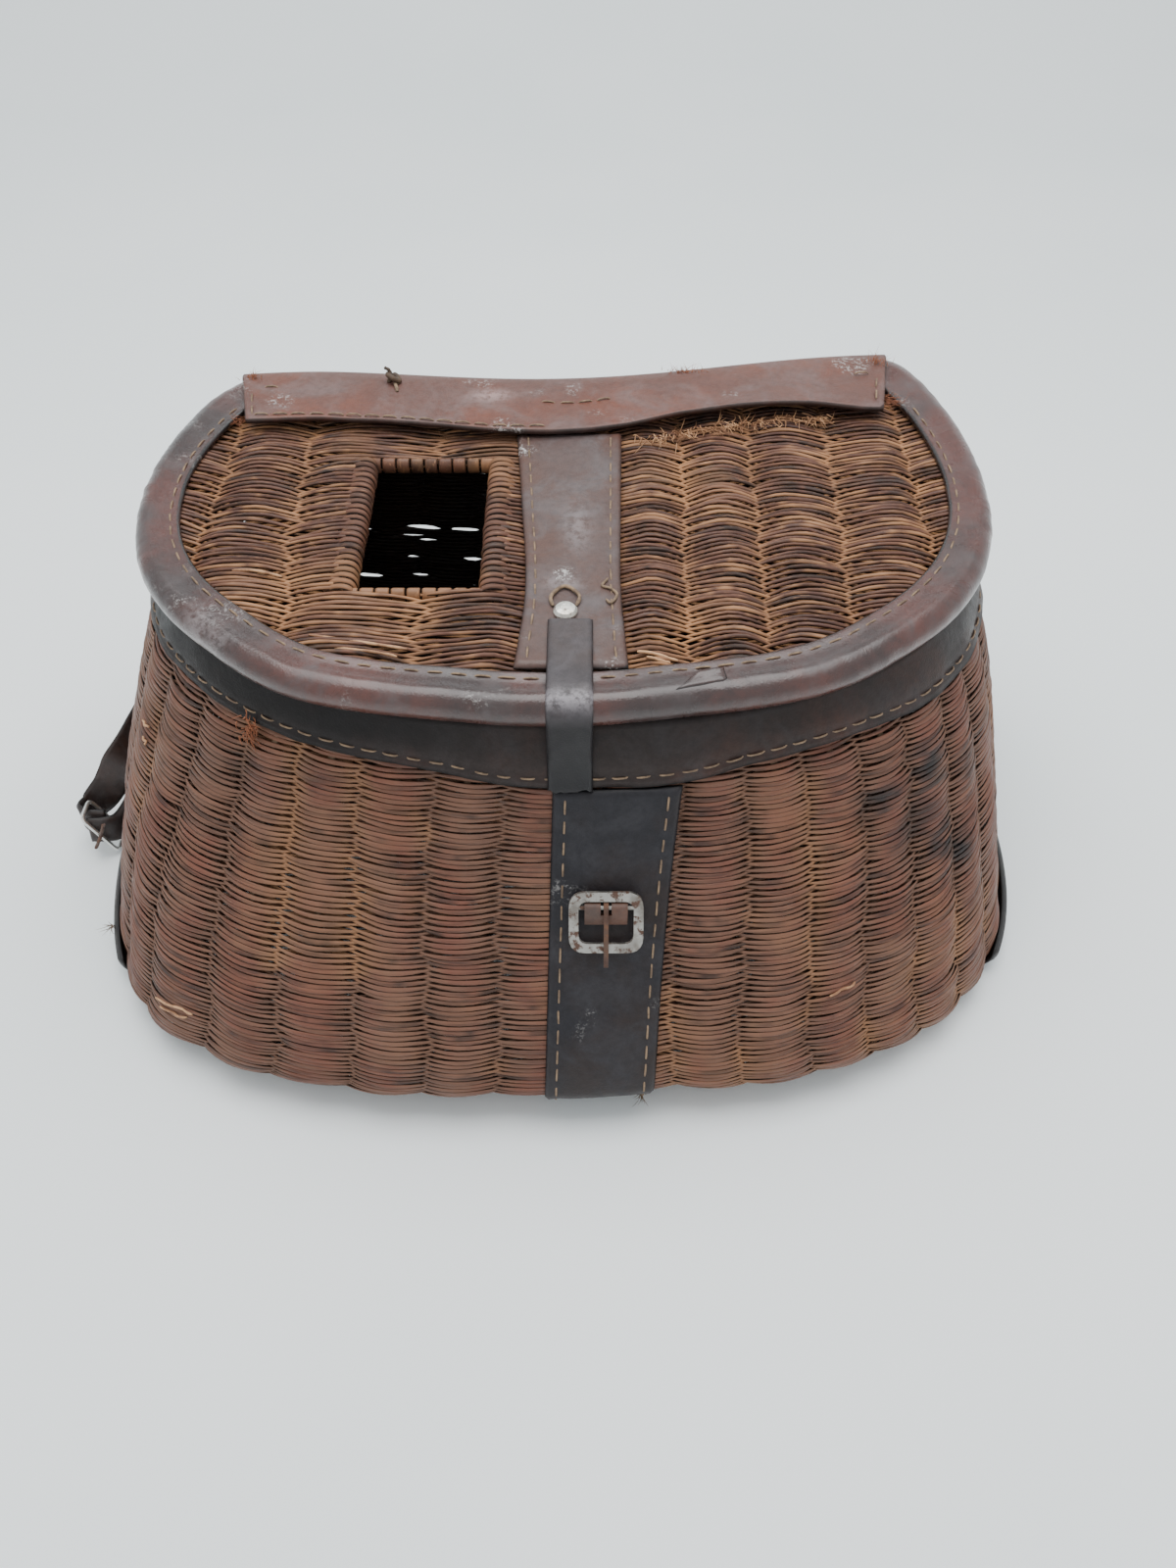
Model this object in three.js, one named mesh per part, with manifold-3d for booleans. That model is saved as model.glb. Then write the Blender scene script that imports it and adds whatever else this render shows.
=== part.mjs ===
// Fishing creel bag: a D-shaped wicker basket with a leather-bound lid, a latch strap and a carrying strap.
// Lengths are millimetres and angles degrees. The front faces -Y, the base stands on z = 0.
import * as THREE from "three";
import Module from "manifold-3d";
import { mergeVertices } from "three/addons/utils/BufferGeometryUtils.js";

const wasm = await Module();
wasm.setup();

const GAP = 0.4; // clearance between neighbouring pieces
const LEATHER = 2; // thickness of the sewn leather
const RIB_COUNT = 37; // stakes round the basket
const RING_COUNT = 4 * RIB_COUNT;

// The lid's outline seen from above, measured from its widest line.
const LID = {
  halfWidth: 160,
  frontDepth: 113,
  backDepth: 90,
  backChord: 0.86, // share of the half width where the back corners end
  backDip: 12.5, // hollow of the back edge
  backSkew: 0.09, // the right back corner lies further back than the left one
  boxiness: 2.25,
  widestY: 28.5,
  height: 165.8, // middle plane of the lid above the floor at its widest line
  slope: 4, // down to the front
  rollRadius: 6.5,
  bindingWidth: 17,
};

// The wall's outer face, in shares of the lid's half width and front depth, from the floor up.
const BODY_SECTIONS = [
  { up: 0, wide: 1.144, deep: 1.248, boxiness: 2.9, swell: 1 },
  { up: 0.05, wide: 1.187, deep: 1.372, boxiness: 2.9, swell: 1 },
  { up: 0.15, wide: 1.168, deep: 1.455, boxiness: 2.75, swell: 1 },
  { up: 0.4, wide: 1.122, deep: 1.306, boxiness: 2.6, swell: 0.9 },
  { up: 0.7, wide: 1.054, deep: 1.071, boxiness: 2.4, swell: 0.15 },
  { up: 1, wide: 0.95, deep: 0.933, boxiness: 2.2, swell: 0 },
];
// How far the real outline lies outside the even one; turn is negative on the left half.
const LID_SWELL = [
  { turn: -3, out: 0 },
  { turn: -2.3, out: 0 },
  { turn: -1.85, out: -4.1 },
  { turn: -1.5, out: -2.4 },
  { turn: -1.1, out: 0.9 },
  { turn: -0.8, out: -0.9 },
  { turn: -0.55, out: -1.7 },
  { turn: -0.35, out: 1.9 },
  { turn: -0.15, out: -0.5 },
  { turn: 0, out: 0 },
  { turn: 0.15, out: -1.9 },
  { turn: 0.35, out: -0.5 },
  { turn: 0.55, out: -2.7 },
  { turn: 0.8, out: -1.8 },
  { turn: 1.1, out: 1.6 },
  { turn: 1.5, out: -0.4 },
  { turn: 1.85, out: -1.2 },
  { turn: 2.3, out: 0 },
  { turn: 3, out: 0 },
];
// The same for the wall; the swell column above fades it out upwards.
const WALL_SWELL = [
  { turn: -3, out: 0 },
  { turn: -2, out: 0 },
  { turn: -1.6, out: 1 },
  { turn: -1.03, out: 5.8 },
  { turn: -0.84, out: 5.3 },
  { turn: -0.69, out: 6.8 },
  { turn: -0.55, out: 9.2 },
  { turn: -0.44, out: 6.7 },
  { turn: -0.33, out: 5.7 },
  { turn: -0.23, out: 2.9 },
  { turn: -0.14, out: 2.1 },
  { turn: -0.04, out: 0 },
  { turn: 0.06, out: -3 },
  { turn: 0.14, out: -1.2 },
  { turn: 0.25, out: -0.8 },
  { turn: 0.36, out: -1 },
  { turn: 0.52, out: 0 },
  { turn: 0.84, out: -0.4 },
  { turn: 1.1, out: -1.5 },
  { turn: 1.6, out: 0 },
  { turn: 3, out: 0 },
];
// Height share of the rim band's lower edge.
const RIM_EDGE = [
  { turn: -3, up: 0.9 },
  { turn: -0.55, up: 0.911 },
  { turn: -0.35, up: 0.904 },
  { turn: -0.14, up: 0.894 },
  { turn: -0.06, up: 0.872 },
  { turn: 0.03, up: 0.868 },
  { turn: 0.13, up: 0.872 },
  { turn: 0.25, up: 0.893 },
  { turn: 0.45, up: 0.895 },
  { turn: 0.55, up: 0.883 },
  { turn: 0.7, up: 0.879 },
  { turn: 3, up: 0.88 },
];
const BODY = {
  wall: 5,
  floor: 5,
  ribRise: 1.3,
  ribTop: 0.845, // height share where the ribs fade out under the rim band
  ribEnd: 0.865,
};

const PANEL = { mean: 2.3, rise: 1.1, pitch: 28, fan: 0.0006, phase: 5 };
const HOLE = { x: -51.7, y: -13.2, width: 44.2, length: 73, sideRoll: 9, endRoll: 4.5, rise: 1.2 };
const RIM_BAND = { innerDrop: 14 };
const HINGE = { halfLength: 134, topWidth: 36, drop: 28, taper: 0.05 };
const LATCH = { x: 2.6, width: 15.3, start: -72, end: 30, thick: 1.8 };
const STUD = { x: 0.9, y: -67.5, radius: 4.2, height: 2.4 };
const FRONT_BUCKLE = { up: 0.572, width: 26, height: 22.5, bar: 3.4, thick: 1.8, lift: 2.3, postRadius: 0.8 };
const CHAPE = { width: 15, skin: 0.8, foot: -1.5, slot: 3.8 };
const PRONG = { width: 1.7, thick: 1, tip: -16.5 };
const BASE_STRIP = { front: -95, back: 66, low: 0.018, high: 0.088, thick: 2.4 };
const STRAP = { width: 15, thick: 2.2, floor: 0.6 };

const rad = (degrees) => (degrees * Math.PI) / 180;
const sinSlope = Math.sin(rad(LID.slope));
const cosSlope = Math.cos(rad(LID.slope));
const tanSlope = Math.tan(rad(LID.slope));
const rimDrop = LID.rollRadius + GAP + LEATHER + GAP; // lid's middle plane to the wall's top edge
const rimHeight = LID.height - rimDrop;
const bodyBack = LID.backDepth - LEATHER - GAP;

// Value of a table's column, smooth through its rows.
function readTable(rows, input, output, at) {
  const last = rows.length - 1;
  let k = 0;
  while (k < last - 1 && at > rows[k + 1][input]) k += 1;
  const slope = (i) => {
    const before = rows[Math.max(i - 1, 0)];
    const after = rows[Math.min(i + 1, last)];
    return (after[output] - before[output]) / (after[input] - before[input]);
  };
  const [a, b] = [rows[k], rows[k + 1]];
  const step = b[input] - a[input];
  const t = (at - a[input]) / step;
  const [t2, t3] = [t * t, t * t * t];
  const ends = (2 * t3 - 3 * t2 + 1) * a[output] + (3 * t2 - 2 * t3) * b[output];
  return ends + step * ((t3 - 2 * t2 + t) * slope(k) + (t3 - t2) * slope(k + 1));
}

// Half of the D outline in shares: turn 0 is the front's middle, 1 the widest point, 3 the back's middle.
function halfShape(turn, boxiness) {
  const angle = ((turn <= 1 ? turn : turn - 1) * Math.PI) / 2;
  if (turn <= 1) return [Math.sin(angle) ** (2 / boxiness), -(Math.abs(Math.cos(angle)) ** (2 / boxiness))];
  if (turn <= 2) return [1 - (1 - LID.backChord) * (1 - Math.cos(angle)), Math.sin(angle)];
  return [LID.backChord * (3 - turn), 1];
}

// Point of a D outline of the given sizes, from the widest line; side is 1 for the right half.
function outlineAt(side, turn, size) {
  const [across, along] = halfShape(turn, size.boxiness);
  const swell = size.swellShare * readTable(size.swellRows, "turn", "out", side * turn);
  const x = side * (size.half + swell) * across;
  if (along <= 0) return [x, (size.front + swell) * along];
  const hollow = turn > 2 ? LID.backDip * Math.cos((Math.PI / 2) * (3 - turn)) ** 2 : 0;
  return [x, (size.back + swell) * along * (1 + LID.backSkew * side * across) - hollow];
}

const frontTurn = (x, size) => Math.asin(Math.abs(x / size.half) ** (size.boxiness / 2)) / (Math.PI / 2);
const backTurn = (x, size) => 3 - Math.abs(x / size.half) / LID.backChord;

const lidSize = (inset) => ({
  half: LID.halfWidth - inset,
  front: LID.frontDepth - inset,
  back: LID.backDepth - inset,
  boxiness: LID.boxiness,
  swellRows: LID_SWELL,
  swellShare: 1,
});

const wallSize = (up, out) => ({
  half: LID.halfWidth * readTable(BODY_SECTIONS, "up", "wide", up) + out,
  front: LID.frontDepth * readTable(BODY_SECTIONS, "up", "deep", up) + out,
  back: bodyBack + out,
  boxiness: readTable(BODY_SECTIONS, "up", "boxiness", up),
  swellRows: WALL_SWELL,
  swellShare: readTable(BODY_SECTIONS, "up", "swell", up),
});

// Turns at equal steps of length round the outline, for the ring's points.
function evenTurns(count) {
  const size = lidSize(0);
  const fine = 3000;
  const lengths = [0];
  let last = outlineAt(1, 0, size);
  for (let i = 1; i <= fine; i += 1) {
    const next = outlineAt(1, (3 * i) / fine, size);
    lengths.push(lengths[i - 1] + Math.hypot(next[0] - last[0], next[1] - last[1]));
    last = next;
  }
  const turns = [];
  let k = 0;
  for (let i = 0; i <= count / 2; i += 1) {
    const target = (lengths[fine] * i) / (count / 2);
    while (k < fine - 1 && lengths[k + 1] < target) k += 1;
    const part = (target - lengths[k]) / (lengths[k + 1] - lengths[k]);
    turns.push((3 * (k + Math.min(part, 1))) / fine);
  }
  return turns;
}

const halfTurns = evenTurns(RING_COUNT);
const allPlaces = Array.from({ length: RING_COUNT }, (unused, i) => {
  const right = i <= RING_COUNT / 2;
  return { share: i / RING_COUNT, side: right ? 1 : -1, turn: halfTurns[right ? i : RING_COUNT - i] };
});
const isCorner = (place) => place.turn > 1.45 && place.turn < 2.05;
const fewPlaces = allPlaces.filter((place, i) => i % 2 === 0 || isCorner(place));

// A point on the wall at a height share, moved out from its face and up from its height.
function wallPoint(place, up, out, rise = 0) {
  const [x, y] = outlineAt(place.side, place.turn, wallSize(up, out));
  return new THREE.Vector3(x, LID.widestY + y, up * (rimHeight + y * tanSlope) + rise);
}

// A point given in the lid's own plane: x across, y back from the widest line, z above the middle plane.
function lidPoint(x, y, z) {
  const back = y * cosSlope - z * sinSlope;
  return new THREE.Vector3(x, LID.widestY + back, LID.height + y * sinSlope + z * cosSlope);
}

function lidRing(places, inset, z) {
  return places.map((place) => lidPoint(...outlineAt(place.side, place.turn, lidSize(inset)), z));
}

// Collects rings of points and joins them into one closed surface.
class Shell {
  constructor() {
    this.points = [];
    this.faces = [];
  }
  ring(points) {
    const first = this.points.length;
    this.points.push(...points);
    return points.map((unused, i) => first + i);
  }
  // Rings may hold different counts; shares tell how far round each point lies.
  join(low, high, lowShares, highShares) {
    const lowAt = (i) => (i < low.length ? (lowShares ? lowShares[i] : i / low.length) : 1);
    const highAt = (i) => (i < high.length ? (highShares ? highShares[i] : i / high.length) : 1);
    let [i, j] = [0, 0];
    while (i < low.length || j < high.length) {
      const [a, b] = [low[i % low.length], high[j % high.length]];
      if (j >= high.length || (i < low.length && lowAt(i + 1) <= highAt(j + 1))) {
        this.faces.push([a, low[(i + 1) % low.length], b]);
        i += 1;
      } else {
        this.faces.push([a, high[(j + 1) % high.length], b]);
        j += 1;
      }
    }
  }
  fan(ring, facesUp) {
    const centre = new THREE.Vector3();
    ring.forEach((i) => centre.addScaledVector(this.points[i], 1 / ring.length));
    const [middle] = this.ring([centre]);
    ring.forEach((a, i) => {
      const b = ring[(i + 1) % ring.length];
      this.faces.push(facesUp ? [a, b, middle] : [b, a, middle]);
    });
  }
  // End of a swept section; the section's flat outline is given for its triangles.
  cap(ring, flat, reversed) {
    const turnsLeft = THREE.ShapeUtils.area(flat) > 0;
    THREE.ShapeUtils.triangulateShape(flat, []).forEach(([a, b, c]) => {
      const sameWay = THREE.ShapeUtils.area([flat[a], flat[b], flat[c]]) > 0 === turnsLeft;
      this.faces.push(sameWay === reversed ? [ring[c], ring[b], ring[a]] : [ring[a], ring[b], ring[c]]);
    });
  }
  // End of a thin section whose second half runs back beside its first half.
  ladderCap(ring, reversed) {
    const last = ring.length - 1;
    for (let i = 0; i < (last - 1) / 2; i += 1) {
      const [a, b, c, d] = [ring[i], ring[i + 1], ring[last - 1 - i], ring[last - i]];
      this.faces.push(...(reversed ? [[d, b, a], [d, c, b]] : [[a, b, d], [b, c, d]]));
    }
  }
  geometry() {
    const geometry = new THREE.BufferGeometry();
    const values = this.points.flatMap((p) => [p.x, p.y, p.z]);
    geometry.setAttribute("position", new THREE.Float32BufferAttribute(values, 3));
    geometry.setIndex(this.faces.flat());
    return facingOut(geometry);
  }
}

// Turns all faces round where the surface came out inside out.
function facingOut(geometry) {
  const position = geometry.getAttribute("position");
  const index = geometry.getIndex().array;
  const [a, b, c] = [new THREE.Vector3(), new THREE.Vector3(), new THREE.Vector3()];
  let volume = 0;
  for (let i = 0; i < index.length; i += 3) {
    a.fromBufferAttribute(position, index[i]);
    b.fromBufferAttribute(position, index[i + 1]);
    c.fromBufferAttribute(position, index[i + 2]);
    volume += a.dot(b.cross(c));
  }
  if (volume < 0) for (let i = 0; i < index.length; i += 3) [index[i], index[i + 2]] = [index[i + 2], index[i]];
  geometry.computeVertexNormals();
  return geometry;
}

// Closed band that runs right round: each entry of rings is one corner of its section.
function closedBand(rings) {
  const shell = new Shell();
  const made = rings.map((points) => shell.ring(points));
  made.forEach((ring, k) => shell.join(ring, made[(k + 1) % made.length]));
  return shell.geometry();
}

// Solid through a row of sections; a thin section needs no flat outline for its ends.
function sweep(sections, flat = null) {
  const shell = new Shell();
  const rings = sections.map((points) => shell.ring(points));
  for (let k = 0; k < rings.length - 1; k += 1) shell.join(rings[k], rings[k + 1]);
  const last = rings[rings.length - 1];
  if (flat) {
    shell.cap(rings[0], flat, true);
    shell.cap(last, flat, false);
  } else {
    shell.ladderCap(rings[0], true);
    shell.ladderCap(last, false);
  }
  return shell.geometry();
}

const group = new THREE.Group();
group.name = "fishing_creel_bag";

function add(name, color, geometry) {
  const material = new THREE.MeshStandardMaterial({ color, roughness: 0.8 });
  material.name = `${name}_material`;
  const mesh = new THREE.Mesh(geometry, material);
  mesh.name = name;
  group.add(mesh);
}

// Manifold solids, for the pieces that are cut or joined.
function toSolid(geometry) {
  const position = geometry.getAttribute("position");
  return new wasm.Manifold(
    new wasm.Mesh({
      numProp: 3,
      vertProperties: new Float32Array(position.array),
      triVerts: new Uint32Array(geometry.getIndex().array),
    }),
  );
}

function fromSolid(solid) {
  const mesh = solid.getMesh();
  const geometry = new THREE.BufferGeometry();
  geometry.setAttribute("position", new THREE.Float32BufferAttribute(mesh.vertProperties, mesh.numProp));
  geometry.setIndex([...mesh.triVerts]);
  return facingOut(geometry);
}

// Basket: ribbed outer face, plain inner face, flat floor.
const BODY_ROWS = [0, 0.05, 0.14, 0.3, 0.5, 0.68, BODY.ribTop, BODY.ribEnd, 0.93, 1];
const ribFade = (up) => {
  if (up <= BODY.ribTop) return 1;
  return Math.max(0, (BODY.ribEnd - up) / (BODY.ribEnd - BODY.ribTop));
};
function basket() {
  const shell = new Shell();
  const shares = allPlaces.map((place) => place.share);
  const fewShares = fewPlaces.map((place) => place.share);
  const outer = BODY_ROWS.map((up) => {
    const wave = (place) => Math.cos(2 * Math.PI * RIB_COUNT * place.share) * BODY.ribRise * ribFade(up);
    return shell.ring(allPlaces.map((place) => wallPoint(place, up, wave(place))));
  });
  const inner = [1, 0.9, 0.6, 0.25].map((up) => {
    return shell.ring(fewPlaces.map((place) => wallPoint(place, up, -BODY.wall)));
  });
  inner.push(shell.ring(fewPlaces.map((place) => wallPoint(place, 0, -BODY.wall, BODY.floor))));
  for (let k = 0; k < outer.length - 1; k += 1) shell.join(outer[k], outer[k + 1], shares, shares);
  shell.join(outer[outer.length - 1], inner[0], shares, fewShares);
  for (let k = 0; k < inner.length - 1; k += 1) shell.join(inner[k], inner[k + 1], fewShares, fewShares);
  shell.fan(inner[inner.length - 1], true);
  shell.fan(outer[0], false);
  return shell.geometry();
}
add("wicker_body", 0x8a5030, basket());

// Rim band: leather folded over the wall's top edge, outside and inside.
function rimBand() {
  const lowUp = (place) => readTable(RIM_EDGE, "turn", "up", place.side * place.turn);
  const innerUp = 1 - RIM_BAND.innerDrop / rimHeight;
  const inside = -BODY.wall - GAP;
  const corners = [
    [0, GAP + LEATHER, 0],
    [0.4, GAP + LEATHER, 0],
    [1, GAP + LEATHER, 0],
    [1, GAP + 0.5 * LEATHER, GAP + LEATHER],
    [1, inside - 0.5 * LEATHER, GAP + LEATHER],
    [innerUp, inside - LEATHER, 0],
    [innerUp, inside, 0],
    [1, inside, GAP],
    [1, GAP, GAP],
    [0.4, GAP, 0],
    [0, GAP, 0],
  ];
  // The outer face's rows give the share of its height above the lower edge, the inner face's are height shares.
  const upAt = (place, up, out) => (out < -BODY.wall ? up : lowUp(place) + (1 - lowUp(place)) * up);
  const rings = corners.map(([up, out, rise]) => {
    return fewPlaces.map((place) => wallPoint(place, upAt(place, up, out), out, rise));
  });
  return closedBand(rings);
}
add("body_rim_band", 0x3d2c29, rimBand());

// Leather laid on the wall: rows of height share with the turns of its two edges.
function wallPatch(rows, columns, inner, outer) {
  const sections = rows.map(({ up, places }) => {
    const line = Array.from({ length: columns + 1 }, (unused, i) => places(i / columns));
    const face = line.map((place) => wallPoint(place, up, outer));
    const back = line.map((place) => wallPoint(place, up, inner)).reverse();
    return [...face, ...back];
  });
  return sweep(sections);
}

// Front band: centre and width from its top to its foot.
const FRONT_BAND = [
  { up: 0, centre: 12.4, width: 41 },
  { up: 0.5, centre: 15.4, width: 41.5 },
  { up: 1, centre: 20, width: 45.4 },
];
const patchIn = BODY.ribRise + GAP;
const frontPlace = (x, up, out) => ({ side: x < 0 ? -1 : 1, turn: frontTurn(x, wallSize(up, out)) });
function frontBand() {
  const ups = [0.035, 0.05, 0.09, 0.14, 0.22, 0.3, 0.5, 0.68, 0.845, 0.858];
  const rows = ups.map((up) => {
    const centre = readTable(FRONT_BAND, "up", "centre", up);
    const width = readTable(FRONT_BAND, "up", "width", up);
    return { up, places: (share) => frontPlace(centre + (share - 0.5) * width, up, patchIn) };
  });
  return wallPatch(rows, 6, patchIn, patchIn + LEATHER);
}
add("front_band", 0x2c292b, frontBand());

// Hinge strip's lower half, on the back of the basket over the rim band.
const stripIn = GAP + LEATHER + GAP;
function hingeBodyStrip() {
  const low = 1 - HINGE.drop / rimHeight;
  const place = (x, up) => ({ side: x < 0 ? -1 : 1, turn: backTurn(x, wallSize(up, stripIn)) });
  const rows = [low, 0.86, 0.9, 0.95, 1].map((up) => {
    return { up, places: (share) => place((share - 0.5) * 2 * HINGE.halfLength, up) };
  });
  return wallPatch(rows, 16, stripIn, stripIn + LEATHER);
}
add("hinge_strip_body", 0x5a3428, hingeBodyStrip());

// Lid: woven panel with the fish hole and its wrapped border.
function lidPrism(inset, halfHeight) {
  const places = fewPlaces.filter((place, i) => i % 2 === 0);
  const ring = (z) => lidRing(places, inset, z);
  const shell = new Shell();
  const [low, high] = [shell.ring(ring(-halfHeight)), shell.ring(ring(halfHeight))];
  shell.join(low, high);
  shell.fan(high, true);
  shell.fan(low, false);
  return toSolid(shell.geometry());
}
function lidBox(x, y, width, length, halfHeight) {
  const corners = [
    [-1, -1],
    [1, -1],
    [1, 1],
    [-1, 1],
  ];
  const ring = (z) => corners.map(([i, j]) => lidPoint(x + (i * width) / 2, y + (j * length) / 2, z));
  const flat = corners.map(([i, j]) => new THREE.Vector2(i, j));
  return toSolid(sweep([ring(-halfHeight), ring(halfHeight)], flat));
}
// Bar with an eight-sided section along the lid.
function lidBar(from, to, radiusAcross, radiusUp) {
  const along = new THREE.Vector2(to[0] - from[0], to[1] - from[1]).normalize();
  const across = new THREE.Vector2(-along.y, along.x);
  const angles = Array.from({ length: 8 }, (unused, i) => rad(22.5 + 45 * i));
  const section = ([x, y]) => {
    return angles.map((a) => {
      const side = Math.cos(a) * radiusAcross;
      return lidPoint(x + across.x * side, y + across.y * side, Math.sin(a) * radiusUp);
    });
  };
  const flat = angles.map((a) => new THREE.Vector2(Math.cos(a), Math.sin(a)));
  return toSolid(sweep([section(from), section(to)], flat));
}
function lidPanel() {
  const slabs = [];
  const reach = Math.ceil(LID.halfWidth / PANEL.pitch) + 1;
  for (let i = -4 * reach; i <= 4 * reach; i += 1) slabs.push(i / 4);
  const ends = [-LID.frontDepth - 5, LID.backDepth + 20];
  const section = (y) => {
    const scale = PANEL.pitch * (1 + PANEL.fan * y);
    const height = (k) => PANEL.mean + PANEL.rise * Math.cos(2 * Math.PI * k);
    const top = slabs.map((k) => lidPoint(PANEL.phase + k * scale, y, height(k)));
    const bottom = slabs.map((k) => lidPoint(PANEL.phase + k * scale, y, -height(k))).reverse();
    return [...top, ...bottom];
  };
  const flatTop = slabs.map((k) => new THREE.Vector2(k, 1));
  const flatBottom = slabs.map((k) => new THREE.Vector2(k, -1)).reverse();
  const slab = toSolid(sweep(ends.map(section), [...flatTop, ...flatBottom]));
  const inset = LID.rollRadius + 1.5 + GAP;
  const crest = PANEL.mean + PANEL.rise;
  const left = HOLE.x - HOLE.width / 2;
  const right = HOLE.x + HOLE.width / 2;
  const front = HOLE.y - HOLE.length / 2;
  const back = HOLE.y + HOLE.length / 2;
  const [side, end] = [HOLE.sideRoll / 2, HOLE.endRoll / 2];
  const rollUp = crest + HOLE.rise;
  const bars = [
    lidBar([left - side, front - end], [left - side, back + end], side, rollUp),
    lidBar([right + side, front - end], [right + side, back + end], side, rollUp),
    lidBar([left - side, front - end], [right + side, front - end], end, crest),
    lidBar([left - side, back + end], [right + side, back + end], end, crest),
  ];
  const plate = slab.intersect(lidPrism(inset, 2 * crest));
  const cut = plate.subtract(lidBox(HOLE.x, HOLE.y, HOLE.width, HOLE.length, 3 * crest));
  return fromSolid(bars.reduce((solid, bar) => solid.add(bar), cut));
}
add("lid_panel", 0x9c6b3a, lidPanel());

// Lid binding: leather round the rim rod, with a slot that holds the panel's edge.
const slotHalf = PANEL.mean + PANEL.rise + GAP;
const flangeTop = slotHalf + LEATHER;
function lidBinding() {
  const slotIn = LID.rollRadius + 1.5;
  const arc = [-90, -45, 0, 45, 90].map((angle) => [
    LID.rollRadius * (1 - Math.cos(rad(angle))),
    LID.rollRadius * Math.sin(rad(angle)),
  ]);
  const corners = [
    ...arc,
    [LID.bindingWidth, flangeTop],
    [LID.bindingWidth, slotHalf],
    [slotIn, slotHalf],
    [slotIn, -slotHalf],
    [LID.bindingWidth, -slotHalf],
    [LID.bindingWidth, -flangeTop],
  ];
  return closedBand(corners.map(([inset, z]) => lidRing(fewPlaces, inset, z)));
}
add("lid_binding", 0x4a302f, lidBinding());

// A piece lying across the lid: a section along y at each station across x, or the other way round.
const lidTop = LID.rollRadius + GAP;
function hingeLidStrip() {
  const roll = LID.rollRadius;
  const outer = lidTop + LEATHER;
  const stations = Array.from({ length: 17 }, (unused, i) => (i / 8 - 1) * HINGE.halfLength);
  const bend = [90, 45, 0, -45];
  const profile = (inset, y) => [inset, y];
  const sectionPlan = [
    profile(HINGE.topWidth, lidTop),
    profile(HINGE.topWidth, outer),
    ...bend.map((a) => profile(roll - outer * Math.cos(rad(a)), outer * Math.sin(rad(a)))),
    ...bend.map((a) => profile(roll - lidTop * Math.cos(rad(a)), lidTop * Math.sin(rad(a)))).reverse(),
  ];
  const sections = stations.map((x) => {
    const size = lidSize(0);
    const [, y] = outlineAt(x < 0 ? -1 : 1, backTurn(x, size), size);
    const narrow = (inset) => 1 - (HINGE.taper * Math.max(0, inset)) / HINGE.topWidth;
    return sectionPlan.map(([inset, z]) => lidPoint(x * narrow(inset), y - inset, z));
  });
  return sweep(sections, sectionPlan.map(([inset, z]) => new THREE.Vector2(inset, z)));
}
add("hinge_strip_lid", 0x6b3d2c, hingeLidStrip());

// Strip across the lid's top made from rows: place along y, height of its underside, centre and width.
function lidStrip(rows, thick) {
  const sections = rows.map(({ y, z, centre, width, lean = 90 }) => {
    const [dy, dz] = [thick * Math.cos(rad(lean)), thick * Math.sin(rad(lean))];
    const [left, right] = [centre - width / 2, centre + width / 2];
    return [lidPoint(left, y, z), lidPoint(right, y, z), lidPoint(right, y - dy, z + dz), lidPoint(left, y - dy, z + dz)];
  });
  const flat = [
    [0, 0],
    [1, 0],
    [1, 1],
    [0, 1],
  ];
  return sweep(sections, flat.map(([x, y]) => new THREE.Vector2(x, y)));
}

// Middle band of the lid, from the binding to the hinge strip.
const bandUnder = PANEL.mean + PANEL.rise + GAP;
const bindingEdge = (x) => {
  const size = lidSize(LID.bindingWidth);
  return outlineAt(Math.sign(x), frontTurn(x, size), size)[1];
};
const bandFront = Math.max(bindingEdge(-16), bindingEdge(22)) + 2 * GAP;
const bandBack = LID.backDepth - LID.backDip - HINGE.topWidth - 4 * GAP;
const LID_BAND = [
  { share: 0, centre: 3, width: 38 },
  { share: 0.3, centre: 3.4, width: 33.5 },
  { share: 0.65, centre: 2.4, width: 37 },
  { share: 1, centre: 1.2, width: 41.5 },
];
const lidBandRows = Array.from({ length: 9 }, (unused, i) => {
  const share = i / 8;
  return {
    y: bandFront + share * (bandBack - bandFront),
    z: bandUnder,
    centre: readTable(LID_BAND, "share", "centre", share),
    width: readTable(LID_BAND, "share", "width", share),
  };
});
add("lid_band", 0x503732, lidStrip(lidBandRows, LEATHER));

// Latch strap: from the middle band over the front roll, down in front of the rim band to its torn end.
const bandTop = bandUnder + LEATHER;
const rollFront = -LID.frontDepth + LID.rollRadius;
function latchStrap() {
  const over = LID.rollRadius + GAP;
  const rows = [
    { y: LATCH.start, z: bandTop + GAP },
    { y: LATCH.start - 8, z: bandTop + GAP },
    { y: bandFront - 2, z: bandTop + GAP + 0.2 },
    { y: rollFront + 2, z: over + 0.3 },
  ];
  for (const lean of [75, 50, 25, 0]) {
    rows.push({ y: rollFront - over * Math.cos(rad(lean)), z: over * Math.sin(rad(lean)), lean });
  }
  const hang = (z) => {
    const up = 1 + (z + rimDrop) / rimHeight;
    const clear = wallSize(Math.min(up, 1), 2 * GAP + LEATHER).front;
    return Math.min(rollFront - over, (z * sinSlope - clear) / cosSlope);
  };
  for (const [share, lean] of [[0.35, 0], [0.6, 3], [0.8, 5], [1, 6]]) {
    rows.push({ y: hang(-LATCH.end * share), z: -LATCH.end * share, lean });
  }
  return lidStrip(rows.map((row) => ({ lean: 90, centre: LATCH.x, width: LATCH.width, ...row })), LATCH.thick);
}
add("latch_strap", 0x38343a, latchStrap());

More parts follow.
